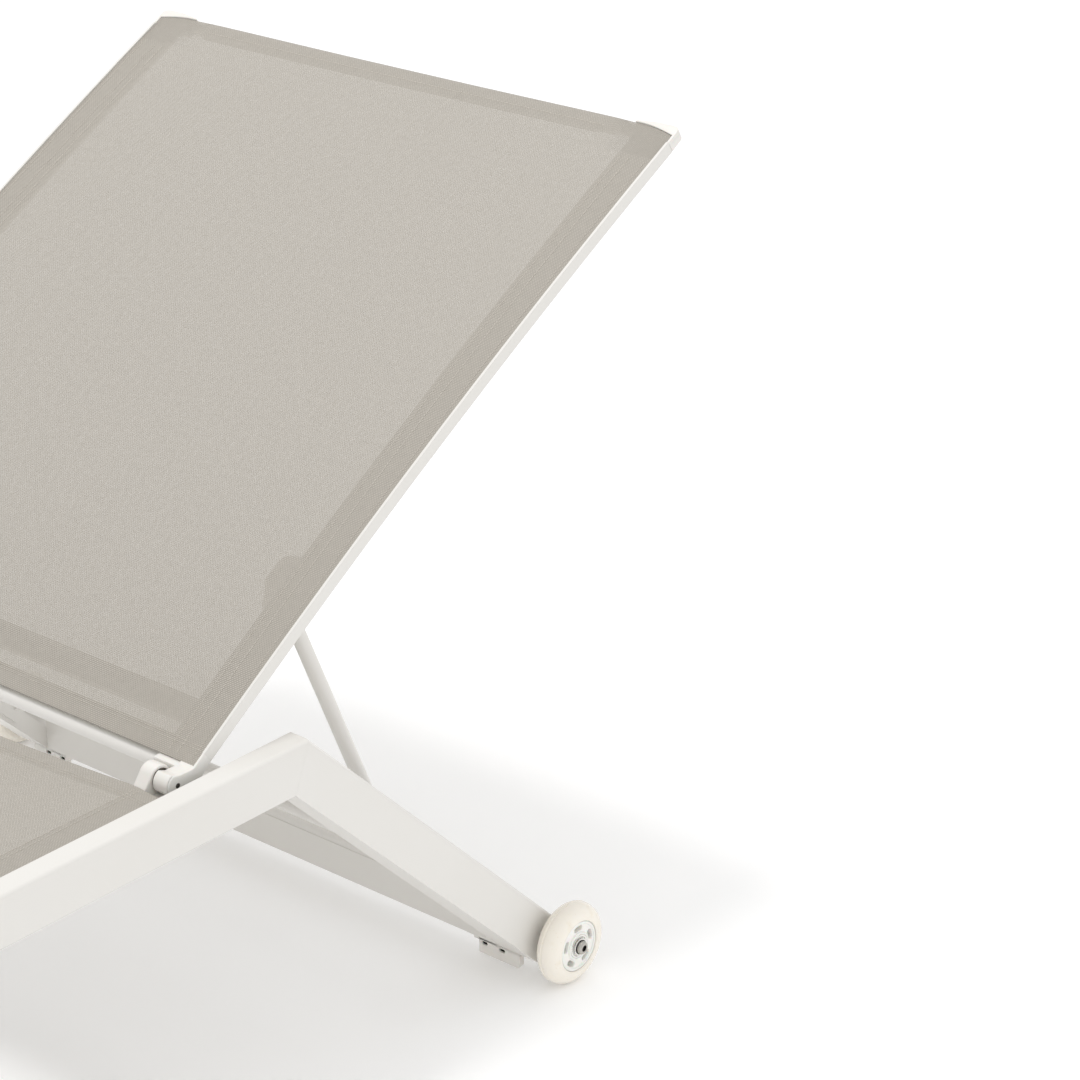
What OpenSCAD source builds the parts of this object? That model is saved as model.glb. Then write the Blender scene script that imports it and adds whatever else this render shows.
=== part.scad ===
// Poolside sun lounger: a bent-leg frame on two wheels, with a reclining back.
// +Z is up and +Y is the head end. Seen from the foot end, parts named _right are at +X
// and parts named _left are at -X. Millimetres.

/* [Frame] */
// Width over the two side rails
frame_w = 683; // [620:1:760]
// Height of the side rails' top face above the ground
rail_top = 349; // [340:1:360]
// Length of a side rail from bend to bend
rail_len = 1120; // [1000:10:1300]
// Slope of the legs below the horizontal
leg_angle = 44.3; // [42:0.1:46]
// Width of the rail and leg extrusion
tube_w = 43; // [42:0.5:46]
// Depth of the rail and leg extrusion
tube_h = 42.5; // [40:0.5:44]
// Wall of the rail and leg extrusion
tube_wall = 2; // [1.5:0.1:2.4]
// Width of the extrusion's raised outer part
raised_w = 20.5; // [19.5:0.5:22]
// Height from the inner ledge to the rail's top face
ledge_drop = 25; // [24:0.5:26]

/* [Back rest] */
// Slope of the back rest as it stands
back_angle = 31.9; // [25:0.1:40]
// Length of the back rest's cloth, bottom to top
back_len = 699; // [640:1:740]
// Width over the back rest's side bars
back_w = 625; // [600:1:627]
// Rise of the side bars' curve at mid length
back_bow = 9.5; // [5:0.5:14]
// Depth of a side bar
bar_h = 11; // [11:0.5:13]
// Width of a side bar
bar_w = 32; // [30:1:34]

/* [Prop] */
// Diameter of the prop rod
prop_d = 13; // [11:0.5:14]
// Distance from the back's lower edge to the prop pivot
prop_u = 162; // [155:1:170]
// Length of the prop from pivot to foot rod
prop_len = 291; // [285:1:295]
// Slope of the prop below the horizontal
prop_angle = 66.7; // [65:0.1:69]

/* [Wheels] */
// Radius of a wheel over its tyre
wheel_r = 38; // [36:0.5:40]
// Width of a wheel
wheel_w = 24; // [22:0.5:26]
// Distance of the axle behind the rear bend
axle_y = 297.5; // [296:0.5:299]
// Gap from the leg to the wheel, filled by the spacer
wheel_gap = 6.5; // [5:0.5:9]

/* [Slings] */
// Thickness of the cloth
cloth_t = 1.6; // [1.2:0.1:2]
// Distance of the seat cloth's head edge before the rear bend
seat_head = 137; // [130:1:150]
// Gap between the seat cloth's foot edge and the front bend
seat_foot_gap = 16; // [10:1:40]

/* [Hidden] */

$fn = 48;

coat = "ghostwhite";
plastic = "white";
cloth = "tan";
steel = "silver";

// Side rail section, measured inward from the outer face and down from the top face
half_w = frame_w / 2;
rail_in = half_w - tube_w;
raised_in = half_w - raised_w;
edge_r = 3.5;
keder_r = 2.4;
groove_r = 3;
groove_drop = 7;
groove_x = raised_in + 5;
slot_h = 2.6;

// Legs
half_angle = leg_angle / 2;
rear_cut_z = 18.4;
front_cut_z = 8;
rear_leg_s = 455;
front_leg_s = 470;
cap_t = 3;

// Cross-beams between the legs
beam_h = 40;
beam_d = 18;
beam_r = 7;
beam_wall = 2.2;
// How far past the bend a leg's underside comes down to height z
function underside_y(z) = -tube_h * sin(leg_angle)
    + (rail_top - tube_h * cos(leg_angle) - z) / tan(leg_angle);
beam_y = underside_y(rear_cut_z);

// Back rest
hinge_y = -114;
hinge_z = 345;
back_y = -94.8;
back_z = 353.8;
back_half = back_w / 2;
back_r = back_len * back_len / (8 * back_bow) + back_bow / 2;
lip_w = 2.5;
cloth_seat = 2.8;
cloth_gap = 0.3;
knuckle_r = 10;
knuckle_x0 = 295;
knuckle_x1 = back_half;
ear_x0 = 280;
ear_x1 = 293.6;
pin_r = 4;
run_gap = 0.05;
tube_r = 6;
top_tube_t = -tube_r - cloth_seat - cloth_gap;
top_u = back_len - tube_r - 1;
top_spigot_r = 4.6;
cap_r = 7;
cap_x0 = back_half - bar_w - 14;
cap_u = back_len + 1;
corner_u = back_len - 9;
bottom_tube_u = 42;
edge_tube_r = 6.5;
edge_tube_u = -2;
edge_tube_t = -12;
bar_u0 = 12;
casting_x0 = back_half - bar_w - 9;

// Prop
prop_x = 268;
prop_t = -20;
prop_pin_r = 3;
prop_boss_r = 8.5;
prop_boss_w = prop_d + 2;
rack_t = 4;
rod_half = rail_in - rack_t - 0.5;
foot_r = prop_d / 2 + 0.6;
foot_wall = 1.6;

// Wheels
wheel_x0 = half_w + wheel_gap;
wheel_mid = wheel_x0 + wheel_w / 2;
hub_r = 23.5;
bearing_r = 11;
bearing_w = 7;
bolt_r = 4;

// The origin is under the middle of the whole lounger as it stands
front_tip = -rail_len - front_leg_s * cos(leg_angle);
back_tip = back_y + cap_u * cos(back_angle) - (bow_at(top_u) - bar_h) * sin(back_angle);
shift_y = -(front_tip + back_tip) / 2;

// Places ---------------------------------------------------------------

// A side-view outline in (y, z), given thickness along +X from x0
module side_plate(x0, w) {
    translate([x0, 0, 0]) rotate([90, 0, 90]) linear_extrude(w) children();
}

// A rod along X at (y, z)
module x_rod(x0, len, r, y, z) {
    translate([x0, y, z]) rotate([0, 90, 0]) cylinder(h = len, r = r);
}

// The same thing on the right side (+1) or the left side (-1)
module on_side(side) {
    if (side > 0) children();
    else mirror([1, 0, 0]) children();
}

module on_both() {
    on_side(1) children();
    on_side(-1) children();
}

// Front leg pieces are rear leg pieces mirrored about the middle of the rails
module at_front() {
    translate([0, -rail_len, 0]) mirror([0, 1, 0]) children();
}

// The back rest's own frame: u along +Y from the cloth's lower edge, t along +Z
module on_back() {
    translate([0, back_y, back_z]) rotate([back_angle, 0, 0]) children();
}

// A section drawn as (t, x) and swept along the back rest's curve from u0 to u1
module curved_bar(u0, u1) {
    a0 = asin((back_len / 2 - u0) / back_r);
    a1 = asin((back_len / 2 - u1) / back_r);
    rotate([90, 0, 90]) translate([back_len / 2, back_bow - back_r, 0])
        rotate([0, 0, 90 + a1]) rotate_extrude(angle = a0 - a1, $fn = 960)
            translate([back_r, 0]) children();
}

// Height of the curve above its chord at distance u
function bow_at(u) = sqrt(pow(back_r, 2) - pow(u - back_len / 2, 2)) - back_r + back_bow;

// Rails and legs -------------------------------------------------------

// Outer outline of the extrusion on the right side, y measured from the top face
module tube_outline(inset) {
    x0 = rail_in + inset;
    x1 = half_w - inset;
    r = edge_r - inset / 2;
    translate([x0, -tube_h + inset]) square([tube_w - 2 * inset, tube_h - ledge_drop - 2 * inset]);
    translate([raised_in + inset, -tube_h + inset])
        square([raised_w - 2 * inset - r, tube_h - 2 * inset]);
    translate([x1 - r - 1, -tube_h + inset]) square([r + 1, tube_h - 2 * inset - r]);
    translate([x1 - r, -inset - r]) circle(r);
}

// The groove that holds the cloth's edge, open towards the seat
module groove_outline(r, h) {
    translate([groove_x, -groove_drop]) circle(r);
    translate([raised_in - 1, -groove_drop - h / 2]) square([groove_x - raised_in + 1, h]);
}

module tube_section() {
    difference() {
        tube_outline(0);
        difference() {
            tube_outline(tube_wall);
            groove_outline(groove_r + 1.4, slot_h + 2.8);
        }
        groove_outline(groove_r, slot_h);
    }
}

// Everything on the head side of the mitre at the rear bend
module mitre_block() {
    translate([0, 0, rail_top]) rotate([-half_angle, 0, 0])
        translate([-400, 0, -300]) cube([800, 400, 600]);
}

module rail_solid() {
    extra = 60;
    difference() {
        translate([0, extra, rail_top]) rotate([90, 0, 0])
            linear_extrude(rail_len + 2 * extra) tube_section();
        mitre_block();
        at_front() mitre_block();
        for (y = bracket_ys) translate([screw_x, y, ledge_z - 5]) cylinder(h = 10, r = screw_r);
    }
}

// The rear leg's straight run, before its ends are cut, up to distance s
module leg_run(s) {
    extra = 60;
    translate([0, 0, rail_top]) rotate([-leg_angle, 0, 0]) translate([0, s, 0])
        rotate([90, 0, 0]) linear_extrude(s + extra) children();
}

module below(z) {
    translate([0, -100, z - 100]) cube([500, 700, 100]);
}

module leg_solid(s, cut_z) {
    difference() {
        leg_run(s - cap_t) tube_section();
        translate([0, 0, rail_top]) rotate([-half_angle, 0, 0])
            translate([0, -400, -300]) cube([400, 400, 600]);
        below(cut_z + cap_t);
    }
}

// A rear leg also has the axle bolt's hole in its outer wall
module rear_leg_solid() {
    difference() {
        leg_solid(rear_leg_s, rear_cut_z);
        x_rod(half_w - tube_wall - 1, tube_wall + 2, bolt_r, axle_y, wheel_r);
    }
}

// The plastic end of a leg: a thin plate that follows the leg's two end cuts
module leg_cap(s, cut_z) {
    difference() {
        leg_run(s) tube_outline(0);
        translate([0, 0, rail_top]) rotate([-leg_angle, 0, 0])
            translate([0, s - cap_t - 600, -100]) cube([400, 600, 200]);
        below(cut_z);
    }
    difference() {
        leg_run(s - cap_t) tube_outline(0);
        translate([0, -100, cut_z + cap_t]) cube([500, 700, 500]);
        below(cut_z);
    }
}

module rail_left() { color(coat) place() on_side(-1) rail_solid(); }
module rail_right() { color(coat) place() on_side(1) rail_solid(); }
module rear_leg_left() { color(coat) place() on_side(-1) rear_leg_solid(); }
module rear_leg_right() { color(coat) place() on_side(1) rear_leg_solid(); }

module front_leg_left() {
    color(coat) place() on_side(-1) at_front() leg_solid(front_leg_s, front_cut_z);
}

module front_leg_right() {
    color(coat) place() on_side(1) at_front() leg_solid(front_leg_s, front_cut_z);
}

module place() {
    translate([0, shift_y, 0]) children();
}

module leg_end_caps() {
    color(plastic) place() on_both() leg_cap(rear_leg_s, rear_cut_z);
}

// Front feet: the leg's end plate with a glide pad under it
glide_l = 31;
glide_w = 36;
module front_glides() {
    color(plastic) place() on_both() at_front() {
        leg_cap(front_leg_s, front_cut_z);
        translate([half_w - tube_w / 2 - glide_w / 2, underside_y(front_cut_z) + 2, 0]) {
            translate([0, 0, 2]) cube([glide_w, glide_l, front_cut_z - 2]);
            translate([2, 2, 0]) cube([glide_w - 4, glide_l - 4, 2]);
        }
    }
}

// Cross-beams ----------------------------------------------------------

module beam_outline(inset) {
    x1 = beam_d - inset;
    h = beam_h - inset;
    r = beam_r - inset;
    difference() {
        union() {
            translate([inset, inset]) square([x1 - inset, h - inset - r]);
            translate([inset + r, inset]) square([x1 - inset - r, h - inset]);
            translate([inset + r, h - r]) circle(r);
        }
        if (inset == 0) translate([0, beam_h - beam_r]) circle(0.6);
    }
}

module beam_solid() {
    side_plate(-rail_in, 2 * rail_in) translate([beam_y, rear_cut_z]) difference() {
        beam_outline(0);
        beam_outline(beam_wall);
    }
}

module rear_crossbeam() { color(coat) place() beam_solid(); }
module front_crossbeam() { color(coat) place() at_front() beam_solid(); }

// Oval stretcher tubes under the seat cloth, between the rails' ledges
stretcher_h = 20;
stretcher_w = 36;
stretcher_z = 309;
module stretcher(y) {
    r = stretcher_h / 2;
    side_plate(-rail_in, 2 * rail_in) translate([y, stretcher_z + r]) difference() {
        union() {
            square([stretcher_w - 2 * r, 2 * r], center = true);
            for (k = [-1, 1]) translate([k * (stretcher_w / 2 - r), 0]) circle(r);
        }
        square([stretcher_w - 2 * r, 2 * r - 4], center = true);
        for (k = [-1, 1]) translate([k * (stretcher_w / 2 - r), 0]) circle(r - 2);
    }
}

module seat_stretcher_head() { color(coat) place() stretcher(-rail_len * 0.4); }
module seat_stretcher_foot() { color(coat) place() stretcher(-rail_len * 0.84); }

// Slings ---------------------------------------------------------------

seat_z = rail_top - groove_drop;
seat_foot = rail_len - seat_foot_gap;
module seat_sling() {
    color(cloth) place() translate([-raised_in + 0.2, -seat_foot, seat_z - cloth_t / 2])
        cube([2 * raised_in - 0.4, seat_foot - seat_head, cloth_t]);
}

module seat_keders() {
    color(plastic) place() on_both() translate([groove_x, -seat_head, rail_top - groove_drop])
        rotate([90, 0, 0]) cylinder(h = seat_foot - seat_head, r = keder_r);
}

// The cloth lies in a shallow step of the side bars, flush with their outer lips
module back_sling() {
    color(cloth) place() on_back() difference() {
        curved_bar(0, back_len) translate([-cloth_seat + cloth_gap, -back_half + lip_w + cloth_gap])
            square([cloth_t, back_w - 2 * lip_w - 2 * cloth_gap]);
        for (x = [-back_half, cap_x0 - cloth_gap])
            translate([x, corner_u, -20]) cube([back_half - cap_x0 + cloth_gap, 40, 40]);
    }
}

keder_x = back_half - lip_w - 4;
keder_t = -cloth_seat - 4;
module back_keders() {
    color(plastic) place() on_back() for (side = [-1, 1])
        curved_bar(bar_u0 + 8, back_len - 26) translate([keder_t, side * keder_x]) circle(1.9);
}

// Back rest frame ------------------------------------------------------

module bar_section() {
    difference() {
        translate([-bar_h, back_half - bar_w]) square([bar_h, bar_w]);
        translate([-cloth_seat, back_half - bar_w - 1]) square([cloth_seat + 1, bar_w + 1 - lip_w]);
        translate([-bar_h + 2, back_half - bar_w + 2]) square([bar_h - cloth_seat - 4, bar_w - 13]);
        translate([keder_t, keder_x]) circle(2.3);
        translate([keder_t, keder_x - 0.9]) square([-keder_t, 1.8]);
    }
}

module bar_solid() {
    on_back() curved_bar(bar_u0, back_len - 18) bar_section();
}

module back_bar_left() { color(coat) place() on_side(-1) bar_solid(); }
module back_bar_right() { color(coat) place() bar_solid(); }

// The top tube runs inside the cloth's top hem, with its thinner ends in the corner caps
module back_top_tube() {
    t = bow_at(top_u) + top_tube_t;
    color(coat) place() on_back() difference() {
        union() {
            x_rod(-cap_x0, 2 * cap_x0, tube_r, top_u, t);
            x_rod(-cap_x0 - 10, 2 * cap_x0 + 20, top_spigot_r, top_u, t);
        }
        x_rod(-back_half, 2 * back_half, top_spigot_r - 1.2, top_u, t);
    }
}

// End pieces that join the top tube to the side bars, with a rounded outer corner
module corner_cap() {
    t0 = bow_at(top_u) - bar_h;
    t1 = bow_at(top_u);
    on_back() difference() {
        union() {
            translate([0, 0, t0]) linear_extrude(bar_h) union() {
                translate([cap_x0, back_len - 18])
                    square([back_half - cap_x0, cap_u - cap_r - back_len + 18]);
                translate([cap_x0, cap_u - cap_r - 1])
                    square([back_half - cap_r - cap_x0, cap_r + 1]);
                translate([back_half - cap_r, cap_u - cap_r]) circle(cap_r);
            }
            x_rod(cap_x0, 22, tube_r, top_u, t1 + top_tube_t);
        }
        translate([cap_x0 - 1, back_len - 60, t1 - cloth_seat])
            cube([back_half - lip_w - cap_x0 + 1, 60 + corner_u - back_len + cloth_gap, 20]);
        x_rod(cap_x0 - 1, 11, top_spigot_r, top_u, t1 + top_tube_t);
    }
}

module back_corner_caps() { color(plastic) place() on_both() corner_cap(); }

module back_bottom_tube() {
    t = bow_at(bottom_tube_u) - cloth_seat - 4.1;
    color(coat) place() on_back() difference() {
        side_plate(-back_half + bar_w, 2 * (back_half - bar_w)) translate([bottom_tube_u, t])
            square([21, 7.6], center = true);
        side_plate(-back_half, 2 * back_half) translate([bottom_tube_u, t])
            square([18.4, 5], center = true);
    }
}

// A round tube right under the cloth's bottom hem, from casting to casting
module back_edge_tube() {
    color(coat) place() on_back() difference() {
        x_rod(-casting_x0, 2 * casting_x0, edge_tube_r, edge_tube_u, edge_tube_t);
        x_rod(-back_half, 2 * back_half, edge_tube_r - 1.5, edge_tube_u, edge_tube_t);
    }
}

// Hinges ---------------------------------------------------------------

// Casting at the back rest's lower corner: a knuckle on the pin, a level arm, a plug in the bar
module casting_solid() {
    difference() {
        union() {
            x_rod(knuckle_x0, knuckle_x1 - knuckle_x0, knuckle_r, hinge_y, hinge_z);
            side_plate(knuckle_x0, knuckle_x1 - knuckle_x0) arm_outline();
            side_plate(casting_x0, knuckle_x0 - casting_x0 + 1) flange_outline();
            on_back() x_rod(casting_x0, 7, edge_tube_r, edge_tube_u, edge_tube_t);
            on_back() translate([casting_x0, 2, -bar_h])
                cube([back_half - casting_x0, bar_u0 - 2, bar_h - cloth_seat]);
            on_back() translate([back_half - lip_w, 0, -bar_h]) cube([lip_w, bar_u0, bar_h]);
        }
        x_rod(knuckle_x0 - 1, knuckle_x1 - knuckle_x0 - 1, pin_r + run_gap, hinge_y, hinge_z);
        x_rod(knuckle_x0 - 1, 40, 2, hinge_y, hinge_z);
    }
}

// The arm runs level from the knuckle, then rises into the side bar
module arm_outline() {
    rise = tan(back_angle);
    polygon([[hinge_y, hinge_z + 8.5], [hinge_y + 5, hinge_z + 7.2], [back_y - 8, hinge_z + 7],
        [back_y - 4, back_z - cloth_seat - 0.4], [back_y + 1, back_z - cloth_seat],
        [back_y + 8, back_z - cloth_seat + 7 * rise], [back_y + 15, back_z - 11 + 15 * rise],
        [back_y + 6, hinge_z - 3], [back_y + 1, hinge_z - 6.5], [hinge_y, hinge_z - 8]]);
}

// The flange inboard of the arm; its front stays behind the fixed ear when the back lies flat
module flange_outline() {
    rise = tan(back_angle);
    polygon([[hinge_y + 13.5, hinge_z + 3], [hinge_y + 13.5, hinge_z + 5.8],
        [back_y + 1.5, back_z - cloth_seat - 0.2], [back_y + 12, back_z - cloth_seat + 10 * rise],
        [back_y + 15, back_z - 11 + 15 * rise], [hinge_y + 25.4, hinge_z - 5]]);
}

module hinge_casting_left() { color(plastic) place() on_side(-1) casting_solid(); }
module hinge_casting_right() { color(plastic) place() casting_solid(); }

// Fixed ear on a stepped foot that is screwed to the rail's ledge
ledge_z = rail_top - ledge_drop;
plate_t = 4;
foot_t = 10;
foot_x1 = raised_in - 0.5;
module bracket_solid() {
    difference() {
        union() {
            side_plate(ear_x0, ear_x1 - ear_x0) union() {
                translate([hinge_y, hinge_z]) circle(11);
                polygon([[hinge_y - 10, hinge_z + 4.5], [hinge_y - 29, ledge_z],
                    [hinge_y + 16, ledge_z], [hinge_y + 10.4, hinge_z + 3.5]]);
            }
            translate([ear_x0, hinge_y - 20, ledge_z]) cube([foot_x1 - ear_x0, 36, plate_t]);
            translate([ear_x0, hinge_y - 34, ledge_z]) cube([foot_x1 - ear_x0, 32, foot_t]);
        }
        x_rod(ear_x0 - 1, 40, pin_r, hinge_y, hinge_z);
        for (y = bracket_ys) translate([screw_x, y, ledge_z - 1]) cylinder(h = 20, r = screw_r);
    }
}

bracket_ys = [hinge_y - 14.5, hinge_y + 4];
screw_x = rail_in + 6.5;
screw_r = 2.5;

module hinge_bracket_left() { color(plastic) place() on_side(-1) bracket_solid(); }
module hinge_bracket_right() { color(plastic) place() bracket_solid(); }

// The front screw is sunk in the foot; the rear one has a flat head
module bracket_screws() {
    color(steel) place() on_both() difference() {
        union() {
            for (y = bracket_ys) translate([screw_x, y, ledge_z - tube_wall])
                cylinder(h = plate_t + tube_wall, r = screw_r);
            translate([screw_x, bracket_ys[1], ledge_z + plate_t]) cylinder(h = 2, r = 4.2);
        }
        translate([screw_x, bracket_ys[0], ledge_z + plate_t - 2]) cylinder(h = 3, r = 1.7, $fn = 6);
        translate([screw_x, bracket_ys[1], ledge_z + plate_t + 0.8]) cylinder(h = 2, r = 1.7, $fn = 6);
    }
}

// The pin is fixed in the ear and turns in the knuckle
module pin_solid() {
    x_rod(ear_x0, knuckle_x1 - 2.2 - ear_x0, pin_r, hinge_y, hinge_z);
    x_rod(ear_x0 - 2.5, 2.5, 6.5, hinge_y, hinge_z);
}

module hinge_pin_left() { color(steel) place() on_side(-1) pin_solid(); }
module hinge_pin_right() { color(steel) place() pin_solid(); }

module hinge_washers() {
    color("dimgray") place() on_both() difference() {
        x_rod(ear_x1, knuckle_x0 - 0.2 - ear_x1, 8.6, hinge_y, hinge_z);
        x_rod(ear_x1 - 1, 4, pin_r, hinge_y, hinge_z);
    }
}

// Prop -----------------------------------------------------------------

clevis_x0 = 250;
clevis_x1 = back_half - bar_w;
clevis_t = 4;
clevis_u = prop_u + 18;

// A D-shaped plate welded to the side bar's inner face, with two ears leading to the pivot
module prop_bracket_solid() {
    on_back() difference() {
        union() {
            translate([0, 0, -clevis_t]) linear_extrude(clevis_t) union() {
                translate([clevis_x0 + 12, clevis_u - 17]) square([clevis_x1 - clevis_x0 - 12, 34]);
                translate([clevis_x0, clevis_u - 5]) square([13, 10]);
                for (k = [-1, 1]) translate([clevis_x0 + 12, clevis_u + k * 5]) circle(12);
            }
            for (x = [clevis_x0, clevis_x1 - clevis_t]) {
                side_plate(x, clevis_t) polygon([[prop_u - 9, prop_t], [prop_u + 9, prop_t],
                    [clevis_u + 4, -1], [clevis_u - 12, -1]]);
                x_rod(x, clevis_t, 9, prop_u, prop_t);
            }
        }
        x_rod(clevis_x0 - 1, clevis_x1 - clevis_x0 + 2, prop_pin_r, prop_u, prop_t);
    }
}

module prop_bracket_left() { color(coat) place() on_side(-1) prop_bracket_solid(); }
module prop_bracket_right() { color(coat) place() prop_bracket_solid(); }

module prop_pivot_pins() {
    color(steel) place() on_both() on_back() {
        x_rod(clevis_x0, clevis_x1 - clevis_x0, prop_pin_r, prop_u, prop_t);
        x_rod(clevis_x0 - 1.8, 1.8, 5, prop_u, prop_t);
    }
}

// The prop's own frame: origin on its pivot, +Y down along the arm
module on_prop() {
    on_back() translate([0, prop_u, prop_t]) rotate([-back_angle - prop_angle, 0, 0]) children();
}

// A round arm with a boss on the pivot; it ends on the foot rod
module prop_arm_solid() {
    on_prop() difference() {
        union() {
            x_rod(prop_x - prop_boss_w / 2, prop_boss_w, prop_boss_r, 0, 0);
            translate([prop_x, 0, 0]) rotate([-90, 0, 0])
                cylinder(h = prop_len, r = prop_d / 2);
        }
        x_rod(prop_x - prop_d, 2 * prop_d, prop_pin_r + run_gap, 0, 0);
        x_rod(prop_x - prop_d, 2 * prop_d, foot_r, prop_len, 0);
    }
}

module prop_arm_left() { color(coat) place() on_side(-1) prop_arm_solid(); }
module prop_arm_right() { color(coat) place() prop_arm_solid(); }

module prop_foot_rod() {
    color(coat) place() on_prop() difference() {
        x_rod(-rod_half + 3, 2 * rod_half - 6, foot_r, prop_len, 0);
        x_rod(-rod_half, 2 * rod_half, foot_r - foot_wall, prop_len, 0);
    }
}

module prop_rod_caps() {
    color(plastic) place() on_both() on_prop() {
        x_rod(rod_half - 3, 3, foot_r, prop_len, 0);
        x_rod(rod_half - 15, 12, foot_r - foot_wall, prop_len, 0);
    }
}

// Notched plate on the leg's inner face; the foot rod rests in one of its notches
rack_s = [163, 209, 256, 306, 357];
rack_n = -tube_h / 2;
rack_hole_s = [186, 233, 331];
module in_leg() {
    translate([0, 0, rail_top]) rotate([-leg_angle, 0, 0]) children();
}

module rack_solid() {
    in_leg() side_plate(rail_in - rack_t, rack_t) difference() {
        translate([rack_s[0] - 14, rack_n - 17]) square([rack_s[4] - rack_s[0] + 28, 21]);
        for (s = rack_s) translate([s, rack_n]) circle(foot_r + 0.4);
        for (s = rack_hole_s) translate([s, rack_n - 12]) circle(2.5);
    }
}

module rack_left() { color(coat) place() on_side(-1) rack_solid(); }
module rack_right() { color(coat) place() rack_solid(); }

module rack_rivets() {
    color(steel) place() on_both() in_leg() for (s = rack_hole_s)
        x_rod(rail_in - rack_t, rack_t, 2.5, s, rack_n - 12);
}

// Stacking blocks ------------------------------------------------------

block_x0 = 271;
block_x1 = 319;
block_z0 = 3;
block_d = 17;
block_t = 6;
block_r = 4.5;
block_screw_xs = [277.5, 298];
block_screw_z = 14;

// A screw's recess, longer sideways, drawn in (x, z)
module block_recess(inset) {
    for (k = [-1.5, 1.5]) translate([k, 0]) circle(2 - inset);
    square([3, 4 - 2 * inset], center = true);
}

module block_solid() {
    y0 = beam_y + 0.5;
    difference() {
        union() {
            translate([block_x0, y0, block_z0])
                cube([block_x1 - block_x0 - block_r, block_t, rear_cut_z - block_z0]);
            translate([block_x0, y0, block_z0 + block_r])
                cube([block_x1 - block_x0, block_t, rear_cut_z - block_z0 - block_r]);
            translate([block_x1 - block_r, y0, block_z0 + block_r]) rotate([-90, 0, 0])
                cylinder(h = block_t, r = block_r);
            translate([block_x0, y0, rear_cut_z - 3]) cube([block_x1 - block_x0, block_d, 3]);
            translate([block_x0 - 6, y0, rear_cut_z - 3]) cube([7, block_d, 3]);
        }
        for (x = block_screw_xs) translate([x, y0 + block_t, block_screw_z]) rotate([90, 0, 0])
            translate([0, 0, 1]) linear_extrude(block_t) block_recess(0);
    }
}

module stacking_blocks() { color(plastic) place() on_both() block_solid(); }

module block_screws() {
    color(steel) place() on_both() for (x = block_screw_xs)
        translate([x, beam_y + block_t - 0.5, block_screw_z]) rotate([90, 0, 0])
            linear_extrude(3) block_recess(0);
}

// Wheels ---------------------------------------------------------------

module axle_bolts() {
    head_x = wheel_x0 + wheel_w + 1.2;
    color(steel) place() on_both() difference() {
        union() {
            x_rod(half_w - tube_wall - 9, head_x - half_w + tube_wall + 9, bolt_r, axle_y, wheel_r);
            x_rod(head_x, 4.4, 6, axle_y, wheel_r);
        }
        translate([head_x + 1.6, axle_y, wheel_r]) rotate([0, 90, 0]) cylinder(h = 4, r = 2.9, $fn = 6);
    }
}

module axle_inserts() {
    color(steel) place() on_both() difference() {
        x_rod(half_w - tube_wall - 9, 9, 7, axle_y, wheel_r);
        x_rod(half_w - tube_wall - 10, 11, bolt_r, axle_y, wheel_r);
    }
}

module axle_washers() {
    color(steel) place() on_both() difference() {
        x_rod(wheel_x0 + wheel_w + 0.2, 1, 8, axle_y, wheel_r);
        x_rod(wheel_x0 + wheel_w, 2, bolt_r, axle_y, wheel_r);
    }
}

module axle_spacers() {
    color(plastic) place() on_both() difference() {
        x_rod(half_w, wheel_gap - 0.2, 6.5, axle_y, wheel_r);
        x_rod(half_w - 1, wheel_gap + 1, bolt_r, axle_y, wheel_r);
    }
}

// A section drawn as (radius, distance from the wheel's middle), turned about the axle
module wheel_turned() {
    translate([wheel_mid, axle_y, wheel_r]) rotate([0, 90, 0]) rotate_extrude($fn = 96) children();
}

module tyre_solid() {
    crown = wheel_w / 2;
    wheel_turned() difference() {
        union() {
            translate([wheel_r - crown, 0]) circle(crown);
            translate([hub_r, -crown]) square([wheel_r - crown - hub_r, wheel_w]);
        }
        square([2 * hub_r, 3 * wheel_w], center = true);
    }
}

module hub_solid() {
    web = 19;
    difference() {
        wheel_turned() {
            translate([hub_r - 3.5, -wheel_w / 2 + 1]) square([3.5, wheel_w - 2]);
            translate([bearing_r, -wheel_w / 2]) square([3, wheel_w]);
            translate([bearing_r + 1, -web / 2]) square([hub_r - bearing_r - 2, web]);
            translate([bolt_r + 3, -wheel_w / 2 + bearing_w])
                square([bearing_r - bolt_r - 1, wheel_w - 2 * bearing_w]);
        }
        for (k = [0 : 4]) translate([wheel_mid - 15, axle_y, wheel_r])
            rotate([18 + 72 * k, 0, 0]) oval_window();
    }
}

// An oval window through the hub's web
module oval_window() {
    mid = (bearing_r + 3 + hub_r - 3.5) / 2;
    for (a = [-11, 0, 11]) rotate([a, 0, 0]) translate([0, 0, mid]) rotate([0, 90, 0])
        cylinder(h = 30, r = 2.6);
}

module bearings_solid() {
    for (x = [wheel_x0, wheel_x0 + wheel_w - bearing_w]) difference() {
        x_rod(x, bearing_w, bearing_r, axle_y, wheel_r);
        x_rod(x - 1, bearing_w + 2, bolt_r + run_gap, axle_y, wheel_r);
    }
}

module tyre_left() { color("ivory") place() on_side(-1) tyre_solid(); }
module tyre_right() { color("ivory") place() tyre_solid(); }
module hub_left() { color(plastic) place() on_side(-1) hub_solid(); }
module hub_right() { color(plastic) place() hub_solid(); }
module bearings_left() { color(steel) place() on_side(-1) bearings_solid(); }
module bearings_right() { color(steel) place() bearings_solid(); }

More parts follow.
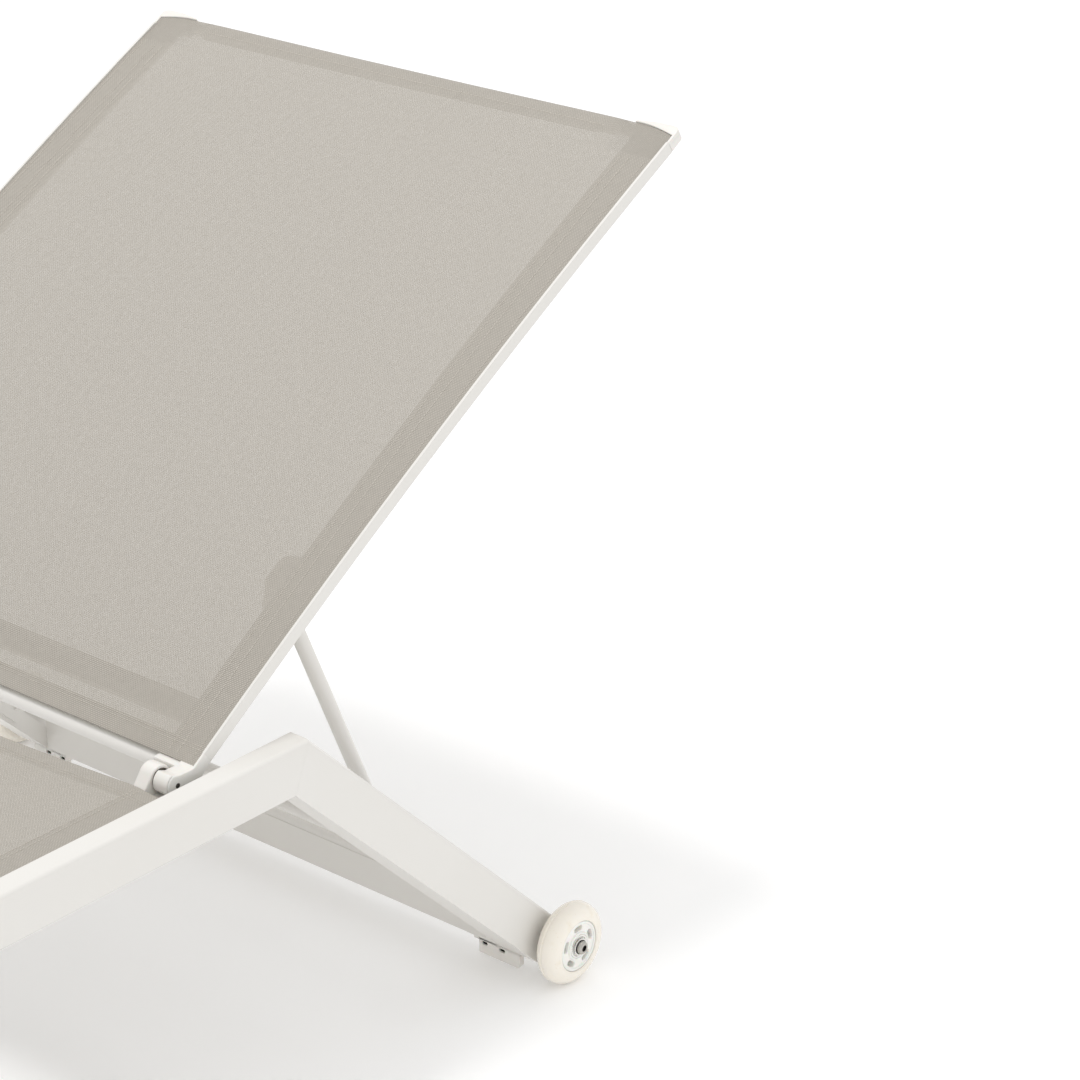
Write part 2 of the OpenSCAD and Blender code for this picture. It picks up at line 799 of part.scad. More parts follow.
rail_left();
rail_right();
rear_leg_left();
rear_leg_right();
front_leg_left();
front_leg_right();
rear_crossbeam();
front_crossbeam();
seat_stretcher_head();
seat_stretcher_foot();
seat_sling();
seat_keders();
front_glides();
leg_end_caps();
stacking_blocks();
block_screws();
hinge_bracket_left();
hinge_bracket_right();
bracket_screws();
hinge_pin_left();
hinge_pin_right();
hinge_washers();
rack_left();
rack_right();
rack_rivets();
axle_bolts();
axle_washers();
axle_spacers();
axle_inserts();
back_bar_left();
back_bar_right();
back_top_tube();
back_bottom_tube();
back_edge_tube();
back_corner_caps();
hinge_casting_left();
hinge_casting_right();
prop_bracket_left();
prop_bracket_right();
prop_pivot_pins();
back_sling();
back_keders();
prop_arm_left();
prop_arm_right();
prop_foot_rod();
prop_rod_caps();
tyre_left();
hub_left();
bearings_left();
tyre_right();
hub_right();
bearings_right();
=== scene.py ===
# %% [markdown]
# # A poolside sun lounger
# The lounger has a white powder-coated aluminium frame, two taupe mesh slings, a back rest that
# reclines on a prop, and a pair of small wheels. Its frame comes from a finished CAD model, so
# this lesson adds what that model can't hold: woven cloth with its hems and stitches, rounded
# mouldings, cast wheels, and a finish for every surface. Lengths are metres, and a value that is
# easier to read in millimetres is multiplied by MM.

import math

import bmesh
import bpy
from mathutils import Matrix, Vector, noise


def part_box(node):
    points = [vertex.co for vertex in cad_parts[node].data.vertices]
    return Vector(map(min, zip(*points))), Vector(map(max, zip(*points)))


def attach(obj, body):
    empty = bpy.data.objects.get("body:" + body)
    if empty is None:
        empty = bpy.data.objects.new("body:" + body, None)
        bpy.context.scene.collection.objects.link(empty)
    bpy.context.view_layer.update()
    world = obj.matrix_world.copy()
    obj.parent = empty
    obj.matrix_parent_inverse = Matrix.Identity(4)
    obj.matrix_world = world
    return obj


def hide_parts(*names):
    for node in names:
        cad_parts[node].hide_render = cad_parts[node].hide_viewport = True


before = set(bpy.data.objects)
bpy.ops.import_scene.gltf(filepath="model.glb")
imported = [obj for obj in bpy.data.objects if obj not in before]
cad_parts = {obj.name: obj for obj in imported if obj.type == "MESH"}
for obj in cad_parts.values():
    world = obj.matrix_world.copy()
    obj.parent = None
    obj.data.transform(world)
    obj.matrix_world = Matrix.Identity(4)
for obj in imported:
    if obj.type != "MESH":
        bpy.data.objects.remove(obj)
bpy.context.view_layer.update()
scene = bpy.context.scene
MM = 0.001

# %% [markdown]
# ## The camera
# A product photographer stands back and uses a long lens, so that parallel rails stay nearly
# parallel. The camera is given by its heading, how far it looks down, its place and its lens.
# The frame's origin is on the ground under the middle of the lounger.

# %% Camera
CAMERA_HEADING = 39.95
CAMERA_LOOKS_DOWN = 23.66
CAMERA_PLACE = Vector((1.9056, -1.1123, 1.4920))
CAMERA_LENS = 106.8

camera = bpy.data.objects.new("camera", bpy.data.cameras.new("camera"))
scene.collection.objects.link(camera)
camera.data.lens = CAMERA_LENS
camera.data.sensor_width = 36.0
camera.data.clip_end = 60.0
camera.location = CAMERA_PLACE
camera.rotation_euler = (
    math.radians(90 - CAMERA_LOOKS_DOWN),
    0.0,
    math.radians(CAMERA_HEADING),
)
scene.camera = camera
print("camera at", tuple(CAMERA_PLACE), "with a", CAMERA_LENS, "mm lens")

# %% [markdown]
# ## Colours
# Colours are picked as sRGB hex codes, the way a paint chart gives them, but shaders add up light
# and need linear numbers. One function turns the first into the second.


# %% Colour helper
def linear(code):
    """An sRGB hex colour as linear red, green, blue and alpha."""
    out = []
    for i in (1, 3, 5):
        c = int(code[i : i + 2], 16) / 255
        out.append(c / 12.92 if c <= 0.04045 else ((c + 0.055) / 1.055) ** 2.4)
    return (*out, 1.0)


print("mid grey #808080 is", round(linear("#808080")[0], 3), "in linear light")

# %% [markdown]
# ## Light
# White furniture on white needs very even light: a bright surround, and one lamp high above that
# leaves a faint soft-edged shadow on the floor. A larger lamp gives a softer edge. The Standard
# view transform keeps white at white, where a film-like one would grey it.

# %% Surround and lamp
SURROUND_LIGHT = 0.93
LAMP_SIZE = 0.75
LAMP_PLACE = (-0.35, 0.55, 4.2)
LAMP_POWER = 46.0

scene.view_settings.view_transform = "Standard"
world = bpy.data.worlds.new("studio")
world.use_nodes = True
scene.world = world
surround = world.node_tree.nodes["Background"]
surround.inputs["Color"].default_value = (1.0, 1.0, 1.0, 1.0)
surround.inputs["Strength"].default_value = SURROUND_LIGHT

lamp = bpy.data.objects.new("overhead_lamp", bpy.data.lights.new("overhead_lamp", "AREA"))
scene.collection.objects.link(lamp)
lamp.data.shape = "DISK"
lamp.data.size = LAMP_SIZE
lamp.data.energy = LAMP_POWER
lamp.location = LAMP_PLACE
print("surround", SURROUND_LIGHT, "and a", LAMP_POWER, "W lamp above")

# %% [markdown]
# ## A short way to build materials
# Every finish here is a small tree of nodes that ends in one Principled shader. One function adds
# a node, with its settings and its inputs. An input is a number, a colour or vector, or another
# node's output.


# %% Node helper
def add(tree, kind, inputs=None, **settings):
    """Adds one shader node. inputs maps a socket's name or number to a value or an output."""
    node = tree.nodes.new("ShaderNode" + kind)
    for key, value in settings.items():
        setattr(node, key, value)
    for key, value in (inputs or {}).items():
        if isinstance(value, bpy.types.NodeSocket):
            tree.links.new(value, node.inputs[key])
        else:
            node.inputs[key].default_value = value
    return node


def new_material(name, **sockets):
    """An empty material with a Principled shader, whose plain sockets are set by name."""
    material = bpy.data.materials.new(name)
    material.use_nodes = True
    tree = material.node_tree
    tree.nodes.clear()
    shader = add(tree, "BsdfPrincipled", {k.replace("_", " "): v for k, v in sockets.items()})
    add(tree, "OutputMaterial", {"Surface": shader.outputs["BSDF"]})
    return material, tree, shader


def two_tones(tree, factor, first, second):
    """The colour between two sRGB codes at a factor."""
    mix = add(tree, "Mix", {0: factor, 6: linear(first), 7: linear(second)}, data_type="RGBA")
    return mix.outputs[2]


# %% [markdown]
# ## Powder-coated aluminium
# The frame is extruded aluminium, sprayed with white powder and baked. The baked coat is a thin
# plastic skin, so it isn't metallic: IOR 1.5, a satin gloss. Baking leaves a faint orange-peel
# relief, about 1.5 mm from crest to crest, and a slight drift in tone along each length. The
# powder flows back from sharp edges, so a Bevel node rounds the normal there by under a
# millimetre. That is what gives every edge of the extrusion its thin highlight.

# %% Powder coat
PEEL_SIZE = 1.5 * MM
DRIFT_SIZE = 120 * MM
EDGE_ROUND = 0.4 * MM


def smooth_coat(name, light, dark, roughness, grain, relief, edge, **sockets):
    """A satin skin in two close tones, with a fine relief and softened edges."""
    material, tree, shader = new_material(name, Roughness=roughness, **sockets)
    place = add(tree, "TexCoord").outputs["Object"]
    drift = add(tree, "TexNoise", {"Vector": place, "Scale": 1 / DRIFT_SIZE, "Detail": 3.0})
    grain_noise = add(tree, "TexNoise", {"Vector": place, "Scale": 1 / grain, "Detail": 2.0})
    edge_normal = add(tree, "Bevel", {"Radius": edge}, samples=4).outputs["Normal"]
    bump = add(
        tree,
        "Bump",
        {
            "Height": grain_noise.outputs["Fac"],
            "Strength": relief,
            "Distance": 0.1 * MM,
            "Normal": edge_normal,
        },
    )
    tone = two_tones(tree, drift.outputs["Fac"], light, dark)
    tree.links.new(tone, shader.inputs["Base Color"])
    tree.links.new(bump.outputs["Normal"], shader.inputs["Normal"])
    return material


powder_coat = smooth_coat(
    "powder_coated_aluminium", "#E4E2DE", "#DFDCD6", 0.42, PEEL_SIZE, 0.18, EDGE_ROUND
)
print("powder coat: relief every", PEEL_SIZE / MM, "mm")

# %% [markdown]
# ## Moulded nylon
# The hinge castings, corner pieces and end caps are white nylon, injection moulded against
# spark-eroded steel: a warmer and slightly glossier white than the coat, with a very fine grain.
# A little subsurface light softens it, as in any white polymer. The wheel hubs are moulded from a
# clearer grade without filler, which is paler, glossier and lets light further in.

# %% White nylon
white_nylon = smooth_coat(
    "moulded_white_nylon",
    "#E9E6E1",
    "#E4E1DB",
    0.36,
    0.6 * MM,
    0.10,
    0.8 * MM,
    Subsurface_Weight=0.05,
    Subsurface_Scale=2 * MM,
)
print("made", white_nylon.name)

# %% Hub nylon
hub_nylon = smooth_coat(
    "translucent_hub_nylon",
    "#F8F6F1",
    "#F2EFE9",
    0.30,
    0.8 * MM,
    0.08,
    0.5 * MM,
    Subsurface_Weight=0.15,
    Subsurface_Scale=3 * MM,
)
print("made", hub_nylon.name)

# %% [markdown]
# ## Cast polyurethane tyre
# Skate-wheel urethane is poured into a mould. It is translucent, warm ivory, a little glossy, and
# yellows in patches as it ages, so the tone has broad soft stains as well as fine speckles.

# %% Urethane
STAIN_SIZE = 16 * MM
SPECK_SIZE = 1.6 * MM

urethane, tree, shader = new_material(
    "cast_polyurethane",
    Roughness=0.22,
    IOR=1.5,
    Subsurface_Weight=0.15,
    Subsurface_Scale=4 * MM,
    Subsurface_Radius=(1.0, 0.9, 0.75),
)
place = add(tree, "TexCoord").outputs["Object"]
stains = add(tree, "TexNoise", {"Vector": place, "Scale": 1 / STAIN_SIZE, "Detail": 2.0})
stained = add(
    tree,
    "MapRange",
    {"Value": stains.outputs["Fac"], "From Min": 0.58, "From Max": 0.78},
    interpolation_type="SMOOTHSTEP",
)
specks = add(tree, "TexNoise", {"Vector": place, "Scale": 1 / SPECK_SIZE, "Detail": 1.0})
specked = add(
    tree,
    "MapRange",
    {"Value": specks.outputs["Fac"], "From Min": 0.70, "From Max": 0.78, "To Max": 0.5},
)
ivory = two_tones(tree, stained.outputs["Result"], "#F5EFE4", "#EFE6D6")
ageing = add(
    tree,
    "Mix",
    {0: specked.outputs["Result"], 6: ivory, 7: linear("#DDC9A8")},
    data_type="RGBA",
)
tree.links.new(ageing.outputs[2], shader.inputs["Base Color"])
print("urethane: stains about", STAIN_SIZE / MM, "mm across")

# %% [markdown]
# ## Metals and dark parts
# Bolts and rivets are stainless steel with turned faces, whose fine rings are only tenths of a
# millimetre apart. A fine noise stands in for them, which dulls the gloss a little as they do.
# Bearing rings are ground and brighter. The washers between the hinge parts are dark. The
# recesses in the screw heads, and other deep holes and gaps, get a plain dark material: painted
# shade.


# %% Metals
def turned_metal(name, light, dark, roughness):
    """Metal with a slight change of tone between its tool marks."""
    material, tree, shader = new_material(name, Roughness=roughness, Metallic=1.0)
    place = add(tree, "TexCoord").outputs["Object"]
    marks = add(tree, "TexNoise", {"Vector": place, "Scale": 1 / (0.5 * MM), "Detail": 3.0})
    bump = add(
        tree, "Bump", {"Height": marks.outputs["Fac"], "Strength": 0.1, "Distance": 0.05 * MM}
    )
    tone = two_tones(tree, marks.outputs["Fac"], light, dark)
    tree.links.new(tone, shader.inputs["Base Color"])
    tree.links.new(bump.outputs["Normal"], shader.inputs["Normal"])
    return material


stainless = turned_metal("turned_stainless_steel", "#C9C6C0", "#A7A39C", 0.28)
bearing_steel = turned_metal("ground_bearing_steel", "#F0EFEC", "#E4E2DE", 0.25)
# A plain dark material for deep recesses, holes and gaps: painted shade where little light reaches.
painted_recess_shade = smooth_coat(
    "painted_shade_recess", "#2A2622", "#191614", 0.5, 0.8 * MM, 0.1, 0.1 * MM
)
washer_rubber = smooth_coat("nitrile_rubber", "#4A4038", "#3A322B", 0.6, 0.7 * MM, 0.2, 0.2 * MM)
print("made", stainless.name, bearing_steel.name, washer_rubber.name)

# %% [markdown]
# ## Sling mesh
# The cloth is a plain weave of polyester yarn in a vinyl jacket, the mesh used on garden chairs.
# Measured across the cloth there is a yarn every 1.39 mm, and along it one every 1.47 mm. Each
# yarn goes over one neighbour and under the next, and leaves a small square hole at each corner.
# The pattern is worked out from the cloth's own map, whose numbers are metres along the cloth,
# so it bends round the hems and never stretches.
#
# For each direction the tree finds how far a point is from the middle of its yarn, 0 to 1. The
# yarn is round, so its height falls off with the square of that. A cosine of the other direction
# lifts it over and under, and the sign changes from one yarn to the next.

# %% Sling mesh
YARN_ACROSS = 1.39 * MM
YARN_ALONG = 1.47 * MM
HOLE_EDGE = 0.77
WEAVE_LIFT = 0.45


def yarn(tree, along, other):
    """One set of yarns: distance from the yarn's middle, and its height with the weave."""
    count = add(tree, "Math", {0: along, 1: 0.5}, operation="ADD").outputs[0]
    index = add(tree, "Math", {0: count}, operation="FLOOR").outputs[0]
    off = add(tree, "Math", {0: along, 1: index}, operation="SUBTRACT").outputs[0]
    half = add(tree, "Math", {0: off}, operation="ABSOLUTE").outputs[0]
    distance = add(tree, "Math", {0: half, 1: 2.0}, operation="MULTIPLY").outputs[0]
    round_top = add(tree, "Math", {0: distance, 1: distance}, operation="MULTIPLY").outputs[0]
    phase = add(tree, "Math", {0: index, 1: other}, operation="ADD").outputs[0]
    turn = add(tree, "Math", {0: phase, 1: math.pi}, operation="MULTIPLY").outputs[0]
    lift = add(tree, "Math", {0: turn}, operation="COSINE").outputs[0]
    height = add(
        tree, "Math", {0: lift, 1: WEAVE_LIFT, 2: 1.0}, operation="MULTIPLY_ADD"
    ).outputs[0]
    height = add(tree, "Math", {0: height, 1: round_top}, operation="SUBTRACT").outputs[0]
    return distance, height, index


print("each hole is", round((1 - HOLE_EDGE) * YARN_ACROSS / MM, 2), "mm wide")

# %% [markdown]
# Where the two yarns cross, the higher one gives the colour. A point that is far from the middle
# of both is a hole, so the Alpha socket turns it off. Low places get more of the shade colour, as
# painted shade between the yarns, and every yarn has its own slight tone, which a noise looks up
# by the yarn's number.


# %% Mesh material
def woven(name, warp_colour, weft_colour, shade_colour):
    """The sling's weave, with see-through holes between the yarns."""
    material, tree, shader = new_material(name, Roughness=0.5, IOR=1.5, Sheen_Weight=0.08)
    uv = add(tree, "UVMap", uv_map="cloth").outputs["UV"]
    split = add(tree, "SeparateXYZ", {"Vector": uv})
    across = add(
        tree, "Math", {0: split.outputs["X"], 1: YARN_ACROSS}, operation="DIVIDE"
    ).outputs[0]
    along = add(
        tree, "Math", {0: split.outputs["Y"], 1: YARN_ALONG}, operation="DIVIDE"
    ).outputs[0]
    warp_off, warp_high, warp_index = yarn(tree, across, along)
    shifted = add(tree, "Math", {0: across, 1: 1.0}, operation="ADD").outputs[0]
    weft_off, weft_high, weft_index = yarn(tree, along, shifted)
    warp_on_top = add(
        tree, "Math", {0: warp_high, 1: weft_high}, operation="GREATER_THAN"
    ).outputs[0]
    height = add(tree, "Math", {0: warp_high, 1: weft_high}, operation="MAXIMUM").outputs[0]
    nearest = add(tree, "Math", {0: warp_off, 1: weft_off}, operation="MINIMUM").outputs[0]
    solid = add(tree, "Math", {0: nearest, 1: HOLE_EDGE}, operation="LESS_THAN").outputs[0]
    yarn_colour = add(
        tree,
        "Mix",
        {0: warp_on_top, 6: linear(weft_colour), 7: linear(warp_colour)},
        data_type="RGBA",
    ).outputs[2]
    yarns = add(tree, "CombineXYZ", {0: warp_index, 1: weft_index}).outputs[0]
    streak = add(tree, "TexNoise", {"Vector": yarns, "Scale": 0.23, "Detail": 1.0})
    # Painted shade: the lower a point of the yarn, the more of the shade colour it takes.
    low = add(
        tree,
        "MapRange",
        {"Value": height, "From Min": 0.1, "From Max": 1.2, "To Min": 0.85, "To Max": 0.0},
    ).outputs["Result"]
    shaded = add(
        tree, "Mix", {0: low, 6: yarn_colour, 7: linear(shade_colour)}, data_type="RGBA"
    ).outputs[2]
    toned = add(
        tree,
        "HueSaturation",
        {
            "Color": shaded,
            "Value": add(
                tree,
                "MapRange",
                {"Value": streak.outputs["Fac"], "To Min": 0.94, "To Max": 1.06},
            ).outputs["Result"],
        },
    ).outputs["Color"]
    bump = add(tree, "Bump", {"Height": height, "Strength": 0.75, "Distance": 0.25 * MM})
    tree.links.new(toned, shader.inputs["Base Color"])
    tree.links.new(solid, shader.inputs["Alpha"])
    tree.links.new(bump.outputs["Normal"], shader.inputs["Normal"])
    return material


sling_mesh = woven("vinyl_coated_polyester_mesh", "#ABA59B", "#B9B3A9", "#655D53")
print("weave:", YARN_ACROSS / MM, "by", YARN_ALONG / MM, "mm")

# %% [markdown]
# ## Thread and welt
# The hems are sewn with a bonded polyester thread, pale and slightly shiny, and a vinyl welt cord
# lies hidden in each groove. The thread's twist is too fine to see, so narrow bands of two close
# tones stand in for it.

# %% Thread and vinyl
thread, tree, shader = new_material("bonded_polyester_thread", Roughness=0.55, Sheen_Weight=0.2)
place = add(tree, "TexCoord").outputs["Object"]
twist = add(tree, "TexWave", {"Vector": place, "Scale": 1 / (1.2 * MM), "Distortion": 1.0})
tree.links.new(
    two_tones(tree, twist.outputs["Fac"], "#CBC5BB", "#BAB4A9"), shader.inputs["Base Color"]
)
vinyl = smooth_coat("extruded_vinyl", "#CFC9BF", "#C4BEB3", 0.5, 1.0 * MM, 0.1, 0.2 * MM)
print("made", thread.name, "and", vinyl.name)

# %% [markdown]
# ## Making objects
# All pieces are meshes built in code. They share one way to finish: the mesh gets its material,
# its faces shade smoothly, and edges sharper than an angle stay crisp.


# %% Mesh helpers
def finish_mesh(name, bm, material, body, crisp=math.radians(38)):
    """Turns a bmesh into an object that rides on a body of the frame."""
    bmesh.ops.remove_doubles(bm, verts=bm.verts, dist=0.005 * MM)
    bmesh.ops.recalc_face_normals(bm, faces=bm.faces)
    for edge in bm.edges:
        edge.smooth = len(edge.link_faces) != 2 or edge.calc_face_angle() < crisp
    for face in bm.faces:
        face.smooth = True
    mesh = bpy.data.meshes.new(name)
    bm.to_mesh(mesh)
    bm.free()
    mesh.materials.append(material)
    obj = bpy.data.objects.new(name, mesh)
    scene.collection.objects.link(obj)
    if body:
        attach(obj, body)
    return obj


print("helper ready: finish_mesh")

# %% [markdown]
# ## Floor
# The floor is a sheet of white acrylic with a matt face. Its material glows a little of itself,
# with no lamp behind it: a painted glow that keeps the shadow on it pale. It is staging and not a
# part of the lounger, so it rides on no body.

# %% Floor
floor_sheet = smooth_coat(
    "painted_glow_white_floor",
    "#FFFFFF",
    "#FDFDFD",
    0.9,
    30 * MM,
    0.0,
    0.1 * MM,
    # Emission: a painted glow on the floor, which keeps its shadow pale.
    Emission_Color=(1.0, 1.0, 1.0, 1.0),
    Emission_Strength=0.08,
)
floor_mesh = bmesh.new()
bmesh.ops.create_circle(floor_mesh, cap_ends=True, segments=96, radius=30.0)
floor = finish_mesh("floor", floor_mesh, floor_sheet, None)
print("floor disc", round(floor.dimensions.x), "m across")

# %% [markdown]
# ## The back rest's own frame
# The back rest slopes, and its side bars bow upwards a little, so its parts are easiest to place
# in its own directions: x across, u up the slope from the cloth's lower edge, and t out of its
# face. The hinge pin and the bars of the CAD model give where that frame is.

# %% Back rest frame
BACK_SLOPE = math.radians(31.9)
BACK_LENGTH = 699 * MM
BACK_BOW = 9.5 * MM
FOOT_FROM_PIN = Vector((0.0, 19.2 * MM, 8.8 * MM))
UP = Vector((0.0, math.cos(BACK_SLOPE), math.sin(BACK_SLOPE)))
OUT = Vector((0.0, -math.sin(BACK_SLOPE), math.cos(BACK_SLOPE)))

pin_low, pin_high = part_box("hinge_pin_right")
hinge = Vector((0.0, (pin_low.y + pin_high.y) / 2, (pin_low.z + pin_high.z) / 2))
back_foot = hinge + FOOT_FROM_PIN
bow_radius = BACK_LENGTH**2 / (8 * BACK_BOW) + BACK_BOW / 2
back_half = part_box("back_bar_right")[1].x


def bow(u):
    """How far the side bars' curve stands above its chord."""
    return math.sqrt(bow_radius**2 - (u - BACK_LENGTH / 2) ** 2) - bow_radius + BACK_BOW


def on_back(x, u, t):
    """A point at x across, u up the slope and t above the bars' curve."""
    return back_foot + Vector((x, 0.0, 0.0)) + UP * u + OUT * (t + bow(u))


def in_back(point):
    """The u and t, above the chord, of a point of the frame."""
    d = point - back_foot
    return d.dot(UP), d.dot(OUT)


print("hinge at", tuple(round(v, 4) for v in hinge), "bow radius", round(bow_radius, 3), "m")

# %% [markdown]
# ## Plates with rounded edges
# Many fittings are flat shapes with a thickness: the hinge ears, stacking blocks and corner
# pieces. A 2-D curve is the neatest way to make one. It fills its outline, leaves its holes open,
# and its bevel rounds every edge, holes included. The offset pulls the outline in by the bevel,
# so that the finished plate has the size it was drawn at.


# %% Plate helper
SIDE_VIEW = Matrix(((0, 0, 1, 0), (1, 0, 0, 0), (0, 1, 0, 0), (0, 0, 0, 1)))


def plate_mesh(loops, low, high, round_edge, turn=SIDE_VIEW):
    """A bmesh of a plate from low to high, whose loops are (y, z) points in side view."""
    curve = bpy.data.curves.new("plate", "CURVE")
    curve.dimensions = "2D"
    curve.fill_mode = "BOTH"
    curve.extrude = (high - low) / 2 - round_edge
    curve.bevel_depth = round_edge
    curve.bevel_resolution = 2
    curve.offset = -round_edge
    for loop in loops:
        spline = curve.splines.new("POLY")
        spline.points.add(len(loop) - 1)
        for point, (a, b) in zip(spline.points, loop):
            point.co = (a, b, 0.0, 1.0)
        spline.use_cyclic_u = True
    obj = bpy.data.objects.new("plate", curve)
    scene.collection.objects.link(obj)
    bpy.context.view_layer.update()
    mesh = obj.evaluated_get(bpy.context.evaluated_depsgraph_get()).to_mesh()
    bm = bmesh.new()
    bm.from_mesh(mesh)
    bpy.data.objects.remove(obj)
    bpy.data.curves.remove(curve)
    bm.transform(turn @ Matrix.Translation((0, 0, (low + high) / 2)))
    return bm


def joined(*meshes):
    """Several bmeshes as one."""
    whole = bmesh.new()
    for bm in meshes:
        part = bpy.data.meshes.new("part")
        bm.to_mesh(part)
        bm.free()
        whole.from_mesh(part)
        bpy.data.meshes.remove(part)
    return whole


def mirrored(bm):
    """The same bmesh on the other side of the lounger."""
    bm.transform(Matrix.Scale(-1, 4, (1, 0, 0)))
    bmesh.ops.reverse_faces(bm, faces=bm.faces)
    return bm


def mirror_pair(make):
    """The mesh that make() builds for the right side, and its mirror image for the left."""
    return (("right", make()), ("left", mirrored(make())))


def on_both_sides(make):
    """The right side's mesh and its mirror image as one."""
    return joined(make(), mirrored(make()))


print("helpers ready: plate_mesh, joined, mirrored")

# %% [markdown]
# Outlines are lists of points. Their round stretches come from an arc, or from rounding off a
# corner by its own radius.


# %% Outline helpers
def arc(centre, radius, start, end, steps=10):
    """Points on an arc from start to end degrees, counted from the first axis."""
    points = []
    for i in range(steps + 1):
        a = math.radians(start + (end - start) * i / steps)
        points.append((centre[0] + radius * math.cos(a), centre[1] + radius * math.sin(a)))
    return points


def rounded(points, radii):
    """A closed outline with each corner rounded off by its own radius."""
    out = []
    count = len(points)
    for i, (corner, radius) in enumerate(zip(points, radii)):
        here = Vector(corner)
        before = (Vector(points[i - 1]) - here).normalized()
        after = (Vector(points[(i + 1) % count]) - here).normalized()
        if radius <= 0:
            out.append(tuple(here))
            continue
        half = before.angle(after) / 2
        reach = radius / math.tan(half)
        start, end = here + before * reach, here + after * reach
        for k in range(7):
            s = k / 6
            out.append(tuple(start * (1 - s) ** 2 + here * (2 * s * (1 - s)) + end * s**2))
    return out


print("helpers ready: arc, rounded")

# %% [markdown]
# ## Turned pieces
# Bolts and washers are turned in a real workshop, and any round moulding can be made the same way
# here: a half section is spun round the axle. Each section is a list of (radius, distance
# outwards) points.


# %% Turning helper
def turned_mesh(section, centre, side=1, segments=96):
    """A bmesh of a section spun round the X axis through centre; side is -1 for the left."""
    bm = bmesh.new()
    rings = []
    for k in range(segments):
        a = 2 * math.pi * k / segments
        spots = [Vector((side * x, r * math.cos(a), r * math.sin(a))) for r, x in section]
        rings.append([bm.verts.new(centre + spot) for spot in spots])
    for k in range(segments):
        here, there = rings[k], rings[(k + 1) % segments]
        for i in range(len(section) - 1):
            if section[i][0] < 1e-7 and section[i + 1][0] < 1e-7:
                continue
            bm.faces.new((here[i], here[i + 1], there[i + 1], there[i]))
    return bm


print("helper ready: turned_mesh")

# %% [markdown]
# ## Wheels
# Each wheel is a skate wheel: a urethane tyre cast round a nylon hub, on two sealed ball
# bearings. The mould was in two halves, which leaves a thin raised seam all the way round the
# tread. The tyre is turned from a half section: flat flanks near the hub, a round tread, and the
# seam a little inside the middle.

# %% Tyres
tyre_low, tyre_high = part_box("tyre_right")
wheel_radius = (tyre_high.z - tyre_low.z) / 2
wheel_half = (tyre_high.x - tyre_low.x) / 2
wheel_right = (tyre_low + tyre_high) / 2
wheel_left = Vector((-wheel_right.x, wheel_right.y, wheel_right.z))
HUB_RADIUS = 23.5 * MM
SEAM_HEIGHT = 0.4 * MM
SEAM_HALF = 0.55 * MM
SEAM_PLACE = -2.5 * MM


def tyre_section():
    """Half section of the tyre, from the hub's inner side round the tread to its outer side."""
    crown = wheel_radius - wheel_half
    shoulder = ((0.0, 1.2 * MM), (0.8 * MM, 0.2 * MM), (1.8 * MM, 0.0))
    section = [(HUB_RADIUS + out, -wheel_half + deep) for out, deep in shoulder]
    section += [(crown + r, x) for x, r in arc((0.0, 0.0), wheel_half, 180, 112, steps=18)]
    tread = wheel_radius - SEAM_HEIGHT
    for x, rise in ((-2.6, -0.25), (-1, 0.0), (-0.5, 1.0), (0.5, 1.0), (1, 0.0), (2.6, -0.25)):
        section.append((tread + SEAM_HEIGHT * rise, SEAM_PLACE + x * SEAM_HALF))
    section += [(crown + r, x) for x, r in arc((0.0, 0.0), wheel_half, 92, 0, steps=22)]
    section += [(HUB_RADIUS + out, wheel_half - deep) for out, deep in reversed(shoulder)]
    return section


for name, centre, side in (("left", wheel_left, -1), ("right", wheel_right, 1)):
    tyre = finish_mesh(
        "cast_tyre_" + name,
        turned_mesh(tyre_section(), centre, side, segments=160),
        urethane,
        "wheel_" + name,
    )
    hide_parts("tyre_" + name)
print("tyre radius", round(wheel_radius / MM, 1), "mm, half width", round(wheel_half / MM, 1), "mm")

# %% [markdown]
# The hub is a web with five oval windows between an outer ring, which the tyre grips, and an
# inner ring, which holds the bearings. The web is a plate with six holes; the rings are turned.

# %% Hubs
WEB_HALF = 10.3 * MM
BEARING_RADIUS = 11 * MM
WINDOW_MIDDLE = 17 * MM
WINDOW_HALF = 2.5 * MM
WINDOW_SPREAD = 10


def window(angle):
    """An oval opening that follows the rim, centred on an angle in degrees."""
    outer = arc((0, 0), WINDOW_MIDDLE + WINDOW_HALF, angle - WINDOW_SPREAD, angle + WINDOW_SPREAD)
    inner = arc((0, 0), WINDOW_MIDDLE - WINDOW_HALF, angle + WINDOW_SPREAD, angle - WINDOW_SPREAD)
    a0, a1 = math.radians(angle - WINDOW_SPREAD), math.radians(angle + WINDOW_SPREAD)
    end = (WINDOW_MIDDLE * math.cos(a1), WINDOW_MIDDLE * math.sin(a1))
    start = (WINDOW_MIDDLE * math.cos(a0), WINDOW_MIDDLE * math.sin(a0))
    turn_out = arc(end, WINDOW_HALF, angle + WINDOW_SPREAD, angle + WINDOW_SPREAD + 180)
    turn_in = arc(start, WINDOW_HALF, angle + 180 - WINDOW_SPREAD, angle + 360 - WINDOW_SPREAD)
    return outer[:-1] + turn_out[:-1] + inner[:-1] + turn_in[:-1]


def ring_section(inner, outer, half, edge):
    """Closed half section of a ring with small chamfers."""
    return [
        (inner, -half + edge),
        (inner + edge, -half),
        (outer - edge, -half),
        (outer, -half + edge),
        (outer, half - edge),
        (outer - edge, half),
        (inner + edge, half),
        (inner, half - edge),
        (inner, -half + edge),
    ]


